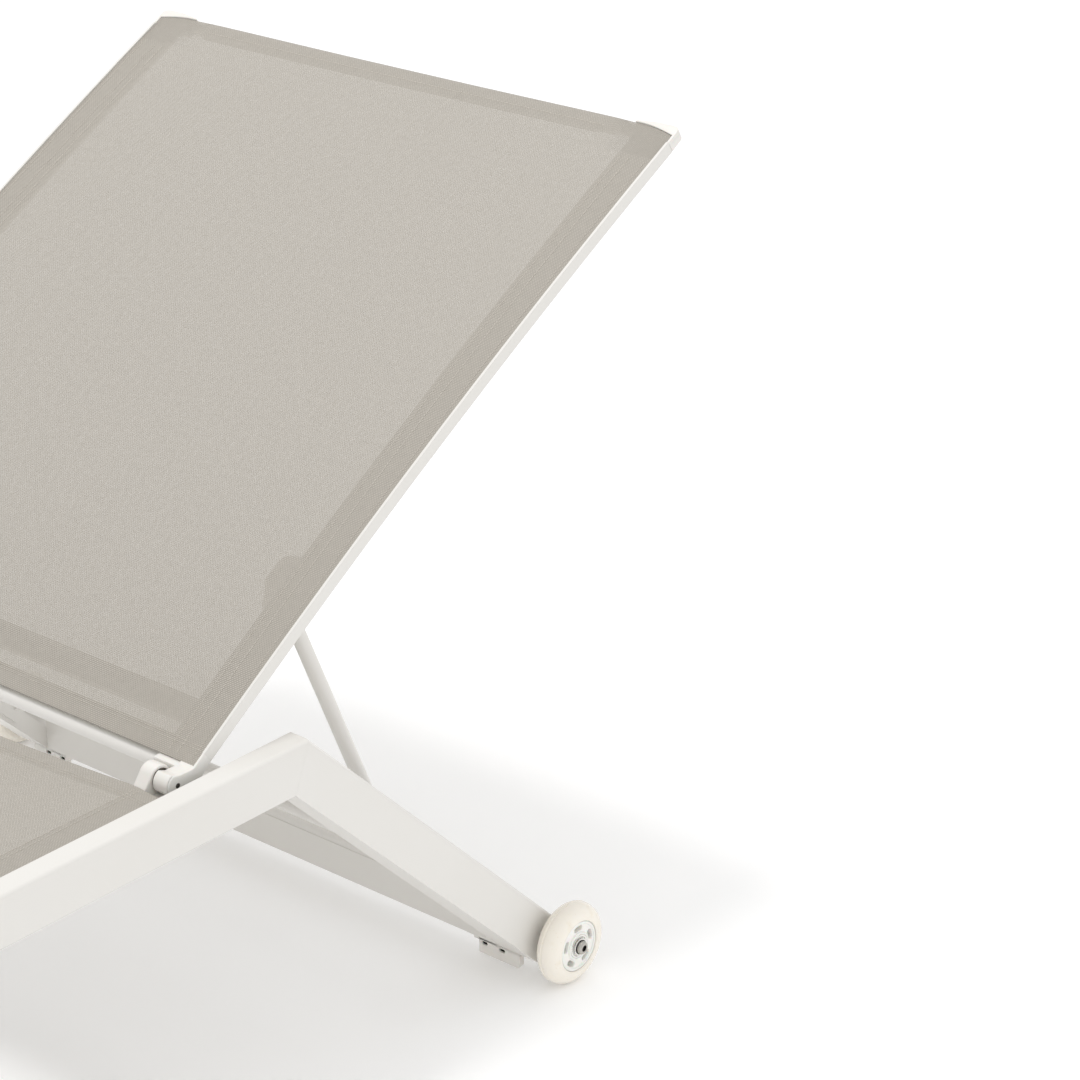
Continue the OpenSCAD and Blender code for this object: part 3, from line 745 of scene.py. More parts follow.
for name, centre, side in (("left", wheel_left, -1), ("right", wheel_right, 1)):
    loops = [arc((0, 0), HUB_RADIUS - 1 * MM, 0, 352, steps=44)]
    loops.append(arc((0, 0), BEARING_RADIUS + 0.4 * MM, 0, 352, steps=44))
    loops += [window(18 + 72 * k) for k in range(5)]
    web = plate_mesh(loops, -WEB_HALF, WEB_HALF, 0.7 * MM)
    web.transform(Matrix.Translation(centre))
    rim = turned_mesh(
        ring_section(HUB_RADIUS - 2.8 * MM, HUB_RADIUS, wheel_half - 1 * MM, 0.6 * MM), centre
    )
    bore = turned_mesh(
        ring_section(BEARING_RADIUS, BEARING_RADIUS + 2.4 * MM, wheel_half - 0.6 * MM, 0.6 * MM),
        centre,
    )
    hub = finish_mesh("spoked_hub_" + name, joined(web, rim, bore), hub_nylon, "wheel_" + name)
    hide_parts("hub_" + name)
print("hub: 5 windows,", 2 * WINDOW_HALF / MM, "mm wide")

# %% [markdown]
# A sealed bearing shows three things from the side: a bright outer ring, a pale moulded seal that
# sits a little deeper, and a bright inner ring.

# %% Bearings
BOLT_RADIUS = 4 * MM


def bearing_side(side, centre):
    """The steel rings and the seal of the bearing on one side of a wheel."""
    depth = wheel_half - 0.7 * MM
    bore_radius = BOLT_RADIUS + 0.2 * MM
    rings = [
        turned_mesh(
            [(r0, -5 * MM), (r0, -0.3 * MM), (r0 + 0.3 * MM, 0), (r1 - 0.3 * MM, 0)]
            + [(r1, -0.3 * MM), (r1, -5 * MM), (r0, -5 * MM)],
            centre + Vector((side * depth, 0, 0)),
            side,
        )
        for r0, r1 in ((BEARING_RADIUS - 1.9 * MM, BEARING_RADIUS), (bore_radius, 6.1 * MM))
    ]
    seal = turned_mesh(
        [(5.9 * MM, -1.0 * MM), (7.5 * MM, -0.6 * MM), (BEARING_RADIUS - 1.7 * MM, -0.9 * MM)],
        centre + Vector((side * depth, 0, 0)),
        side,
    )
    return joined(*rings), seal


for name, centre in (("left", wheel_left), ("right", wheel_right)):
    outer_rings, outer_seal = bearing_side(1, centre)
    inner_rings, inner_seal = bearing_side(-1, centre)
    rings = finish_mesh(
        "bearing_rings_" + name, joined(outer_rings, inner_rings), bearing_steel, "wheel_" + name
    )
    seals = finish_mesh(
        "bearing_seals_" + name, joined(outer_seal, inner_seal), hub_nylon, "wheel_" + name
    )
    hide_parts("bearings_" + name)
print("bearings: 22 mm outside, 8 mm bore")

# %% [markdown]
# ## Axle bolts
# The wheel turns on a button-head bolt with a hexagon socket. The head is turned. The socket is a
# six-sided recess whose floor and walls are painted dark as the shade inside it, and a dark ring
# between the head and its washer is a painted shadow in the gap.

# %% Bolts
bolt_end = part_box("axle_bolts")[1].x
HEAD_RADIUS = 6 * MM
HEAD_HIGH = 4.2 * MM
HEAD_REACH = 4.4 * MM
SOCKET_RADIUS = 2.9 * MM


def button_head(radius, high, socket):
    """Half section of a domed head with a round mouth, as (radius, height) points."""
    dome = [(socket, high * 0.45), (socket, high - 0.35 * MM), (socket + 0.35 * MM, high)]
    steps = 8
    for k in range(1, steps + 1):
        a = math.pi / 2 * k / steps
        r = socket + 0.8 * MM + (radius - socket - 0.8 * MM) * math.sin(a)
        dome.append((r, 0.25 * high + 0.75 * high * math.cos(a)))
    return dome + [(radius, 0.0), (0.5 * radius, 0.0)]


for name, side in (("left", -1), ("right", 1)):
    head_base = Vector((side * (bolt_end - HEAD_REACH), wheel_right.y, wheel_right.z))
    head = turned_mesh(button_head(HEAD_RADIUS, HEAD_HIGH, SOCKET_RADIUS), head_base, side)
    shank = turned_mesh(
        [(0.0, -48 * MM), (BOLT_RADIUS, -48 * MM), (BOLT_RADIUS, 0.3 * MM), (0.0, 0.3 * MM)],
        head_base,
        side,
        segments=32,
    )
    washer_face = turned_mesh(
        ring_section(BOLT_RADIUS, 8 * MM, 0.5 * MM, 0.2 * MM),
        head_base - Vector((side * 0.5 * MM, 0, 0)),
    )
    bolt = finish_mesh("axle_bolt_" + name, joined(head, shank), stainless, "frame")
    washer = finish_mesh("axle_washer_" + name, washer_face, bearing_steel, "frame")
    # The socket is painted dark: painted shade inside the recess.
    socket = finish_mesh(
        "bolt_socket_painted_shade_" + name,
        turned_mesh(
            [(0.0, 1.6 * MM), (SOCKET_RADIUS, 1.6 * MM), (SOCKET_RADIUS, 3.6 * MM)],
            head_base,
            side,
            segments=6,
        ),
        painted_recess_shade,
        "frame",
    )
    # A dark ring under the head: the painted shadow of the gap above the washer.
    gap_shadow_ring = finish_mesh(
        "bolt_gap_painted_shadow_" + name,
        turned_mesh(
            ring_section(BOLT_RADIUS, HEAD_RADIUS + 0.7 * MM, 0.3 * MM, 0.1 * MM),
            head_base + Vector((side * 0.15 * MM, 0, 0)),
        ),
        painted_recess_shade,
        "frame",
    )
    if side > 0:
        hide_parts("axle_bolts")
        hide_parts("axle_washers")
print("bolt heads end", round(bolt_end / MM, 1), "mm from the middle")

# %% [markdown]
# ## Hinge castings
# At each lower corner of the back rest a moulded arm carries it on the hinge pin. The arm starts
# as a round knuckle, runs level, and then bends up into the side bar in one smooth curve. Its
# side view is drawn as one outline, so that the fillet is part of the shape. A flange on its
# inner side ends in a cup for the tube along the cloth's lower edge.

# %% Castings
KNUCKLE_RADIUS = 10 * MM
KNUCKLE_INNER = 295 * MM
CASTING_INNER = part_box("hinge_casting_right")[0].x
BAR_DEEP = 11 * MM
CLOTH_STEP = 2.8 * MM
PLUG_LENGTH = 13.6 * MM
tube_low, tube_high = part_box("back_edge_tube")
tube_middle = (tube_low + tube_high) / 2
tube_radius = (tube_high.z - tube_low.z) / 2


def side_point(u, t):
    """The (y, z) of a point of the back rest's frame, with t above the bars' curve."""
    p = on_back(0.0, u, t)
    return (p.y, p.z)


def near_hinge(dy, dz):
    """A (y, z) point given in millimetres from the hinge axis."""
    return (hinge.y + dy * MM, hinge.z + dz * MM)


def arm_outline(level, lift):
    """The side view of knuckle and arm, whose top runs at a level and ends at a t of lift."""
    knuckle = arc((hinge.y, hinge.z), KNUCKLE_RADIUS, 266, 112, steps=24)
    bends = [near_hinge(3, level + 0.4), near_hinge(17.2, level), side_point(PLUG_LENGTH, lift)]
    bends += [side_point(PLUG_LENGTH, -BAR_DEEP), near_hinge(25.2, -3), near_hinge(20.2, -6.5)]
    radii = [0.0] * len(knuckle) + [3 * MM, 9 * MM, 0.0, 0.0, 3 * MM, 3 * MM]
    return rounded(knuckle + bends, radii)


def casting_mesh():
    """The right casting: knuckle, arm and lip, and the flange that joins the two bars."""
    lip_side = back_half - 2.5 * MM
    arm = plate_mesh(
        [arm_outline(6.2, -CLOTH_STEP)], KNUCKLE_INNER, back_half - 0.05 * MM, 1.1 * MM
    )
    lip = plate_mesh([arm_outline(7.4, -0.03 * MM)], lip_side, back_half - 0.02 * MM, 0.6 * MM)
    front = [near_hinge(13.5, 3), near_hinge(13.5, 6.4), near_hinge(20.5, 6.4)]
    front += [side_point(PLUG_LENGTH, -CLOTH_STEP), side_point(PLUG_LENGTH, -BAR_DEEP)]
    front += [near_hinge(25.4, -5)]
    outline = rounded(front, [1.2 * MM, 1.2 * MM, 3 * MM, 0.0, 0.0, 2 * MM])
    flange = plate_mesh([outline], CASTING_INNER, KNUCKLE_INNER + 4 * MM, 0.9 * MM)
    cup = turned_mesh(
        [(0.0, 0.0), (tube_radius, 0.0), (tube_radius, 7 * MM), (0.0, 7 * MM)],
        Vector((CASTING_INNER, tube_middle.y, tube_middle.z)),
        segments=48,
    )
    return joined(arm, lip, flange, cup)


for name, mesh in mirror_pair(casting_mesh):
    casting = finish_mesh("moulded_casting_" + name, mesh, white_nylon, "back")
    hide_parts("hinge_casting_" + name)
print("knuckle", 2 * KNUCKLE_RADIUS / MM, "mm across")

# %% [markdown]
# A plug with a small hole closes the outer end of each knuckle. The hole looks dark because it is
# deep, so a thin dark disc with a slight rim is enough.

# %% Knuckle holes
def knuckle_hole():
    """The dark hole in the right knuckle's outer face."""
    mouth = Vector((back_half - 0.02 * MM, hinge.y, hinge.z))
    return turned_mesh(
        [(0.0, 0.03 * MM), (1.75 * MM, 0.03 * MM), (2.05 * MM, 0.12 * MM), (2.25 * MM, 0.0)],
        mouth,
        segments=32,
    )


holes = finish_mesh("knuckle_holes", on_both_sides(knuckle_hole), painted_recess_shade, "back")
print("knuckle holes 4 mm across")

# %% [markdown]
# ## Hinge brackets
# The fixed half of each hinge is an ear with a round top and a front that slopes away, on a
# stepped foot screwed to the rail's ledge. The ear and the foot's two steps are three rounded
# plates that overlap.

# %% Brackets
bracket_low, bracket_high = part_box("hinge_bracket_right")
EAR_INNER = 280 * MM
EAR_OUTER = 293.6 * MM
EAR_RADIUS = 11 * MM
FOOT_HIGH = 10 * MM
SCREW_BORE = 2.5 * MM
screw_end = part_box("bracket_screws")[1].x
SCREW_PLACE = (screw_end - 4.2 * MM, hinge.y - 14.5 * MM)
TOP_VIEW = Matrix.Identity(4)


def bracket_mesh():
    """The right bracket, with the bore of its front screw."""
    centre = (hinge.y, hinge.z)
    base = bracket_low.z
    ear = arc(centre, EAR_RADIUS, 155, 20, steps=20)
    ear += [(hinge.y + 16 * MM, base), (hinge.y - 29 * MM, base)]
    ear_plate = plate_mesh([ear], EAR_INNER, EAR_OUTER, 1.2 * MM)
    x0, x1 = EAR_INNER, bracket_high.x
    low_foot = [(x0, hinge.y - 20 * MM), (x1, hinge.y - 20 * MM)]
    low_foot += [(x1, bracket_high.y), (x0, bracket_high.y)]
    thin = plate_mesh([low_foot], base, base + 4 * MM, 0.6 * MM, TOP_VIEW)
    high_foot = [(x0, bracket_low.y), (x1, bracket_low.y)]
    high_foot += [(x1, hinge.y - 2 * MM), (x0, hinge.y - 2 * MM)]
    bore = arc(SCREW_PLACE, SCREW_BORE, 360, 15, steps=23)
    outline = rounded(high_foot, [2 * MM, 2 * MM, 0.5 * MM, 0.5 * MM])
    thick = plate_mesh([outline, bore], base, base + FOOT_HIGH, 0.8 * MM, TOP_VIEW)
    return joined(ear_plate, thin, thick)


for name, mesh in mirror_pair(bracket_mesh):
    bracket = finish_mesh("moulded_bracket_" + name, mesh, white_nylon, "frame")
    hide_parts("hinge_bracket_" + name)
print("ear", round((EAR_OUTER - EAR_INNER) / MM, 1), "mm thick")

# %% [markdown]
# ## Corner pieces of the back rest
# A moulded corner joins the top tube to each side bar. Its outer corner is rounded, and the cloth
# lies in a shallow step of it, whose edge curves down towards the bar. It is made as two plates
# in the plane of the back rest: the body, and the thin crescent that stands beside the cloth.

# %% Corner pieces
top_low, top_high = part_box("back_top_tube")
top_middle = (top_low + top_high) / 2
top_radius = (top_high.z - top_low.z) / 2
top_u, top_t = in_back(Vector((0.0, top_middle.y, top_middle.z)))
CORNER_INNER = back_half - 46 * MM
CORNER_END = BACK_LENGTH + 1 * MM
CORNER_START = BACK_LENGTH - 18 * MM
CORNER_RADIUS = 7 * MM
LIP = 2.5 * MM
SLOPE_AWAY = 274 * MM
corner_top = bow(top_u)
BACK_PLANE = Matrix(
    (
        (1.0, 0.0, 0.0, 0.0),
        (0.0, UP.y, OUT.y, back_foot.y),
        (0.0, UP.z, OUT.z, back_foot.z),
        (0.0, 0.0, 0.0, 1.0),
    )
)


def cloth_end(x):
    """How far up the slope the back cloth reaches at x: it falls away near its corners."""
    past = max(0.0, abs(x) - SLOPE_AWAY) / (back_half - LIP - SLOPE_AWAY)
    return BACK_LENGTH - 3.5 * MM - 6 * MM * min(past, 1.0) ** 1.7


def corner_mesh():
    """The right corner piece."""
    body = [(CORNER_INNER, CORNER_START), (back_half, CORNER_START)]
    body += [(back_half, CORNER_END), (SLOPE_AWAY + 14 * MM, CORNER_END)]
    body += [(CORNER_INNER, CORNER_END - 3.6 * MM)]
    radii = [0.0, 0.0, CORNER_RADIUS, 20 * MM, 1 * MM]
    low = corner_top - BAR_DEEP
    outline = rounded(body, radii)
    body_plate = plate_mesh([outline], low, corner_top - CLOTH_STEP, 1 * MM, BACK_PLANE)
    edge = []
    steps = 14
    for k in range(steps + 1):
        x = CORNER_INNER + (back_half - LIP - CORNER_INNER) * k / steps
        edge.append((x, cloth_end(x) + 0.4 * MM))
    crescent = edge + [(back_half - LIP, CORNER_START), (back_half, CORNER_START)]
    crescent += outline[2:9]
    crescent += [(SLOPE_AWAY + 14 * MM, CORNER_END)]
    crescent += [(CORNER_INNER + 1 * MM, CORNER_END - 2.6 * MM)]
    lip_plate = plate_mesh(
        [crescent], corner_top - CLOTH_STEP - 1.5 * MM, corner_top, 0.45 * MM, BACK_PLANE
    )
    return joined(body_plate, lip_plate)


corners = finish_mesh("moulded_back_corners", on_both_sides(corner_mesh), white_nylon, "back")
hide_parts("back_corner_caps")
print("top tube at u", round(top_u / MM, 1), "mm, radius", round(top_radius / MM, 1), "mm")

# %% [markdown]
# ## Stacking blocks
# Under each end of the rear cross-beam is a nylon block that rests on the next lounger when they
# are stacked. It is an upright plate with a rounded outer corner, under a thin flange that lies
# against the beam and sticks out a little on its inner side. Two sunk screws hold it.

# %% Stacking blocks
block_low, block_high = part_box("stacking_blocks")
BLOCK_INNER = 271 * MM
BLOCK_THICK = 6 * MM
FLANGE_THICK = 3 * MM
BLOCK_SCREWS = (277.5 * MM, 298 * MM)
BLOCK_SCREW_HIGH = 14 * MM
FRONT_VIEW = Matrix(((1, 0, 0, 0), (0, 0, 1, 0), (0, 1, 0, 0), (0, 0, 0, 1)))


def recess(x, radius):
    """The oval mouth of a screw's recess, twice as wide as high, in the front view."""
    left = arc((x - 1.5 * MM, BLOCK_SCREW_HIGH), radius, 90, 270, steps=8)
    right = arc((x + 1.5 * MM, BLOCK_SCREW_HIGH), radius, 270, 450, steps=8)
    return left + right


def block_mesh():
    """The right stacking block, drawn from the front."""
    outer, top, low = block_high.x, block_high.z, block_low.z
    outline = [(BLOCK_INNER, low), (outer, low), (outer, top), (BLOCK_INNER, top)]
    loops = [rounded(outline, [0.8 * MM, 4.5 * MM, 0.5 * MM, 0.5 * MM])]
    loops += [recess(x, 1.9 * MM) for x in BLOCK_SCREWS]
    front = block_low.y
    upright = plate_mesh(loops, front, front + BLOCK_THICK, 0.6 * MM, FRONT_VIEW)
    flange = [(BLOCK_INNER - 6 * MM, top - FLANGE_THICK), (outer, top - FLANGE_THICK)]
    flange += [(outer, top), (BLOCK_INNER - 6 * MM, top)]
    outline = rounded(flange, [1 * MM, 0.5 * MM, 0.5 * MM, 0.5 * MM])
    return joined(upright, plate_mesh([outline], front, block_high.y, 0.6 * MM, FRONT_VIEW))


def recess_floor(x):
    """The bottom of a screw's recess, painted dark as the shade deep in the hole."""
    bm = bmesh.new()
    points = recess(x, 2.1 * MM)
    bm.faces.new([bm.verts.new((a, block_low.y + 2 * MM, b)) for a, b in points[:-1]])
    return bm


blocks = finish_mesh("moulded_stacking_blocks", on_both_sides(block_mesh), white_nylon, "frame")
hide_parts("stacking_blocks")
# The recess floors are dark: painted shade deep in the holes.
floors = [recess_floor(x) for x in BLOCK_SCREWS]
floors += [mirrored(recess_floor(x)) for x in BLOCK_SCREWS]
recesses = finish_mesh("block_recess_painted_shade", joined(*floors), painted_recess_shade, "frame")
print("blocks stand", round(block_low.z / MM, 1), "mm off the ground")

# %% [markdown]
# ## Cloth as a mapped sheet
# A sling is pulled tight, so it can be described directly: for each distance across and along
# the cut cloth, say where that point of the cloth lies. The same two distances are stored as the
# cloth's map, which is why the weave keeps its real size and turns the corner at each fold. The
# sheet has one layer of faces; its hems are folded under, as a real hem is, so they have two.


# %% Sheet helper
def sheet_mesh(across, along, place):
    """A bmesh of cloth points place(p, q), with the distances p and q as its map."""
    bm = bmesh.new()
    cloth_map = bm.loops.layers.uv.new("cloth")
    rows = [[bm.verts.new(place(p, q)) for p in across] for q in along]
    for j in range(len(along) - 1):
        for i in range(len(across) - 1):
            spots = ((i, j), (i + 1, j), (i + 1, j + 1), (i, j + 1))
            face = bm.faces.new([rows[b][a] for a, b in spots])
            for loop, (a, b) in zip(face.loops, spots):
                loop[cloth_map].uv = (across[a], along[b])
    return bm


def steps_between(marks, size):
    """Distances from the first mark to the last, no further apart than size, on every mark."""
    out = [marks[0]]
    for a, b in zip(marks, marks[1:]):
        count = max(1, math.ceil((b - a) / size))
        out += [a + (b - a) * k / count for k in range(1, count + 1)]
    return out


print("helpers ready: sheet_mesh, steps_between")

# %% [markdown]
# A fold is half a turn round a small radius, after which the cloth runs back under itself. A
# smooth step fades one shape into another, and a seeded noise gives small puckers that are the
# same on every run.


# %% Cloth helpers
def fold_under(beyond, radius):
    """For cloth that runs past a fold: how far it goes on, and how far it drops."""
    if beyond <= 0:
        return beyond, 0.0
    turn = beyond / radius
    if turn < math.pi:
        return radius * math.sin(turn), -radius * (1 - math.cos(turn))
    return -(beyond - math.pi * radius), -2 * radius


def smooth_step(value, low, high):
    """0 below low, 1 above high, and a smooth rise between."""
    s = min(1.0, max(0.0, (value - low) / (high - low)))
    return s * s * (3 - 2 * s)


def pucker(a, b, size, seed):
    """A small repeatable unevenness, from -1 to 1."""
    return noise.noise(Vector((a / size, b / size, seed)))


print("hem fold of radius 0.5 mm takes", round(math.pi * 0.5, 2), "mm of cloth")

# %% [markdown]
# ## Back sling
# The cloth lies in the step of the side bars. Each side is folded round a welt into a 38 mm hem
# that stops just inside the bar, and the bottom edge has an 18 mm hem. The top hem is a sleeve
# round the top tube, left off over the corner pieces. Tight cloth still shows its sewing: it
# puckers along the stitch lines, dips a little between the bars, and has one short crease where
# the top hem was gathered.

# %% Back sling
FOLD = 0.5 * MM
FACE_DROP = 1.2 * MM
SIDE_HEM = 38 * MM
BOTTOM_HEM = 18 * MM
SIDE_ROWS = (278.5 * MM, 287.5 * MM)
BOTTOM_ROWS = (13 * MM, 16 * MM)
TOP_ROW = BACK_LENGTH - 14.5 * MM
CREASE = (77 * MM, 677 * MM)
side_edge = back_half - LIP - 0.6 * MM
wrap_radius = corner_top - FACE_DROP - top_t
SLEEVE_START = 660 * MM
SLEEVE_BLEND = 26 * MM
SLEEVE_TURN = math.radians(205)
SLEEVE_RETURN = 0.62
sleeve_full = top_u - SLEEVE_START + SLEEVE_TURN * wrap_radius + 20 * MM
print("the sleeve takes", round(sleeve_full / MM), "mm of cloth")

# %% [markdown]
# The unevenness is one height, added up from the puckers along three rows of stitches, the crease
# and the dip. Each has its own small formula, and fades out to the sides.


# %% Back relief
def back_relief(x, u):
    """Height of the cloth's unevenness at a place on the back."""
    side_line = math.exp(-(((abs(x) - SIDE_ROWS[0]) / (7 * MM)) ** 2))
    bottom_line = math.exp(-(((u - BOTTOM_ROWS[1]) / (6 * MM)) ** 2))
    top_line = math.exp(-(((u - TOP_ROW) / (6 * MM)) ** 2))
    height = 0.22 * MM * side_line * pucker(u, x, 11 * MM, 3.1)
    height += 0.30 * MM * bottom_line * pucker(x, u, 13 * MM, 7.7)
    height += 0.35 * MM * top_line * pucker(x, u, 12 * MM, 1.3)
    along = (u - CREASE[1]) / (13 * MM)
    across = (x - CREASE[0] + 0.15 * (u - CREASE[1])) / (1.6 * MM)
    height += 1.1 * MM * math.exp(-(across**2) - along**4)
    inner = smooth_step(SIDE_ROWS[0] - abs(x), 0.0, 230 * MM)
    dip = 1.2 + 1.6 * smooth_step(u, 60 * MM, 300 * MM) * smooth_step(600 * MM - u, 0, 300 * MM)
    return height - dip * MM * inner * smooth_step(u, -10 * MM, 20 * MM)


print("dip in the middle", round(back_relief(0.0, BACK_LENGTH / 2) / MM, 1), "mm")

# %% [markdown]
# Near the top the cloth leaves the bars' curve and wraps round the tube, then comes back under it
# to the last row of stitches. Over the corner pieces it stays flat and ends at a curved edge. A
# smooth step between the two shapes keeps the cloth in one piece.


# %% Sleeve
def sleeve_point(x, beyond):
    """Where cloth that runs past SLEEVE_START lies, as u and t above the chord."""
    flat_u = min(SLEEVE_START + beyond, cloth_end(x))
    flat_t = bow(flat_u) - FACE_DROP
    reach = top_u - SLEEVE_START
    if beyond <= reach:
        return flat_u, flat_t
    turn = (beyond - reach) / wrap_radius
    if turn > SLEEVE_TURN:
        rest = beyond - reach - SLEEVE_TURN * wrap_radius
        lift = min(1.0, rest / (18 * MM))
        start_u = top_u + wrap_radius * math.sin(SLEEVE_TURN)
        start_t = top_t + wrap_radius * math.cos(SLEEVE_TURN)
        end_t = bow(TOP_ROW) - FACE_DROP - 1 * MM
        rise = (end_t - start_t) * math.sin(lift * math.pi / 2)
        wrapped = (start_u - rest * SLEEVE_RETURN, start_t + rise)
    else:
        wrapped = (top_u + wrap_radius * math.sin(turn), top_t + wrap_radius * math.cos(turn))
    flat = smooth_step(abs(x), CORNER_INNER - SLEEVE_BLEND, CORNER_INNER)
    return (
        wrapped[0] * (1 - flat) + flat_u * flat,
        wrapped[1] * (1 - flat) + flat_t * flat,
    )


print("sleeve ends at u", round(sleeve_point(0.0, sleeve_full)[0] / MM, 1), "mm")


# %% Back cloth's shape
def back_cloth_point(p, q):
    """Where the point at distances p across and q along the cut cloth lies."""
    go, drop = fold_under(abs(p) - side_edge, FOLD)
    x = math.copysign(side_edge + go, p)
    if q < 0:
        back, drop_end = fold_under(-q, FOLD)
        u = FOLD - back
        t = bow(max(u, 0.0)) - FACE_DROP + drop_end
    elif q <= SLEEVE_START:
        u = q + FOLD
        t = bow(u) - FACE_DROP
    else:
        wrapped = 1 - smooth_step(abs(x), CORNER_INNER - SLEEVE_BLEND, CORNER_INNER)
        length = cloth_end(x) - SLEEVE_START
        length = length + (sleeve_full - length) * wrapped
        share = (q - SLEEVE_START) / sleeve_full
        u, t = sleeve_point(x, share * length)
    return back_foot + Vector((x, 0, 0)) + UP * u + OUT * (t + drop + back_relief(x, u))


print("top middle of the cloth at", [round(c, 3) for c in back_cloth_point(0.0, SLEEVE_START)])

# %% [markdown]
# The sheet's points are close together only where the cloth bends: along the folds, the crease,
# the sleeve and the two rows of the bottom hem. Elsewhere 9 mm is close enough.

# %% Back cloth
across = steps_between(
    [0.0, 60 * MM, 93 * MM, CORNER_INNER - 10 * MM, CORNER_INNER + 4 * MM, SIDE_ROWS[0]]
    + [SIDE_ROWS[1], side_edge],
    9 * MM,
)
across += steps_between([70 * MM, 84 * MM], 0.8 * MM)
across += steps_between([CORNER_INNER - SLEEVE_BLEND, CORNER_INNER + 2 * MM], 2 * MM)
fold_steps = [side_edge + math.pi * FOLD * k / 6 for k in range(1, 7)]
under = steps_between([fold_steps[-1], side_edge + SIDE_HEM], 6 * MM)
half_across = sorted({round(p, 6) for p in across + fold_steps + under})
back_across = [-p for p in reversed(half_across) if p > 0] + half_across
hem_end = math.pi * FOLD + BOTTOM_HEM
back_along = steps_between([-hem_end, -math.pi * FOLD], 4 * MM)
back_along += [-math.pi * FOLD * k / 6 for k in range(5, -1, -1)]
back_along += steps_between([0.0, BOTTOM_ROWS[0], BOTTOM_ROWS[1], 30 * MM], 3 * MM)[1:]
back_along += steps_between([30 * MM, SLEEVE_START], 9 * MM)[1:]
back_along += steps_between([SLEEVE_START, SLEEVE_START + sleeve_full], 1.6 * MM)[1:]
back_cloth = finish_mesh(
    "back_sling_cloth",
    sheet_mesh(back_across, back_along, back_cloth_point),
    sling_mesh,
    "back",
)
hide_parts("back_sling")
print(len(back_cloth.data.polygons), "faces")

# %% [markdown]
# ## Seat sling
# The seat cloth runs between the grooves of the side rails. Its sides have the same hem as the
# back, held in the grooves by a welt. Its two ends are hemmed and free: pulled only sideways,
# they curve in a little at the middle, and at the corners they dip where the cloth dives into the
# groove. It sags by a few millimetres along its middle.

# %% Seat sling
seat_low, seat_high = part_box("seat_sling")
seat_level = (seat_low.z + seat_high.z) / 2
seat_side = seat_high.x
END_HEM = 18 * MM
END_CURVE = 13.2 * MM
END_BEYOND = 10.2 * MM
CORNER_DIP = 6 * MM
SEAT_SAG = 4 * MM
SEAT_ROWS = (seat_side - 34 * MM, seat_side - 29 * MM)
END_ROWS = (13 * MM, 16 * MM)
GROOVE_REACH = 4 * MM


def end_inset(x):
    """How far an end of the seat cloth has drawn in at x."""
    curve = END_CURVE * (1 - (min(abs(x), seat_side) / seat_side) ** 2)
    return curve - END_BEYOND + CORNER_DIP * smooth_step(abs(x), seat_side - 49 * MM, seat_side)


def seat_relief(x, y):
    """Sag and unevenness of the seat cloth."""
    side_line = math.exp(-(((abs(x) - SEAT_ROWS[0]) / (7 * MM)) ** 2))
    height = 0.25 * MM * side_line * pucker(y, x, 11 * MM, 5.9)
    from_end = min(seat_high.y - y, y - seat_low.y)
    end_line = math.exp(-(((from_end - END_ROWS[1]) / (8 * MM)) ** 2))
    height += 0.35 * MM * end_line * pucker(x, y, 13 * MM, 8.2)
    return height - SEAT_SAG * (1 - (min(abs(x), seat_side) / seat_side) ** 2)


def seat_cloth_point(p, q):
    """Where the point at distances p across and q along, from the foot edge, lies."""
    go, drop = fold_under(abs(p) - (seat_side + GROOVE_REACH), FOLD)
    x = math.copysign(seat_side + GROOVE_REACH + go, p)
    length = seat_high.y - seat_low.y
    inset = end_inset(x)
    back_head, drop_head = fold_under(q - (length - FOLD), FOLD)
    back_foot_end, drop_foot = fold_under(FOLD - q, FOLD)
    if q > length - FOLD:
        y = seat_high.y - FOLD + back_head - inset
    elif q < FOLD:
        y = seat_low.y + FOLD - back_foot_end + inset
    else:
        s = (q - FOLD) / (length - 2 * FOLD)
        y = seat_low.y + FOLD + inset + s * (length - 2 * FOLD - 2 * inset)
    z = seat_level + 0.5 * MM + drop + drop_head + drop_foot + seat_relief(x, y)
    return Vector((x, y, z))


print("seat cloth lies", round(seat_level / MM, 1), "mm above the ground before it sags")

# %% Seat cloth
seat_length = seat_high.y - seat_low.y
seat_half = [0.0] + steps_between([9 * MM, SEAT_ROWS[0] - 9 * MM], 12 * MM)
seat_half += steps_between([SEAT_ROWS[0] - 6 * MM, seat_side + GROOVE_REACH], 3 * MM)
seat_half += [seat_side + GROOVE_REACH + math.pi * FOLD * k / 6 for k in range(1, 7)]
seat_hem_end = seat_side + GROOVE_REACH + math.pi * FOLD + SIDE_HEM
seat_half += steps_between([seat_half[-1], seat_hem_end], 6 * MM)[1:]
seat_across = [-p for p in reversed(seat_half[1:])] + seat_half
end_fold = [FOLD - math.pi * FOLD * k / 6 for k in range(6, 0, -1)]
end_under = steps_between([end_fold[0] - END_HEM, end_fold[0]], 4 * MM)[:-1]
head_fold = [seat_length - q for q in reversed(end_fold)]
head_under = [seat_length - q for q in reversed(end_under)]
seat_along = end_under + end_fold + steps_between([FOLD, 30 * MM], 3 * MM)
seat_along += steps_between([30 * MM, seat_length - 30 * MM], 10 * MM)[1:]
seat_along += steps_between([seat_length - 30 * MM, seat_length - FOLD], 3 * MM)[1:]
seat_along += head_fold + head_under
seat_cloth = finish_mesh(
    "seat_sling_cloth",
    sheet_mesh(seat_across, seat_along, seat_cloth_point),
    sling_mesh,
    "frame",
)
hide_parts("seat_sling")
print(len(seat_cloth.data.polygons), "faces")

# %% [markdown]
# ## Stitching
# A lockstitch shows as a row of short thread bars, each diving into the cloth at both ends. About
# 3.5 mm a stitch is usual on this mesh. There are several thousand, so each one is a small
# five-sided spindle, built straight into one mesh for each sling.

# %% Stitches
STITCH = 3.5 * MM
THREAD_RADIUS = 0.36 * MM
THREAD_SIDES = 5
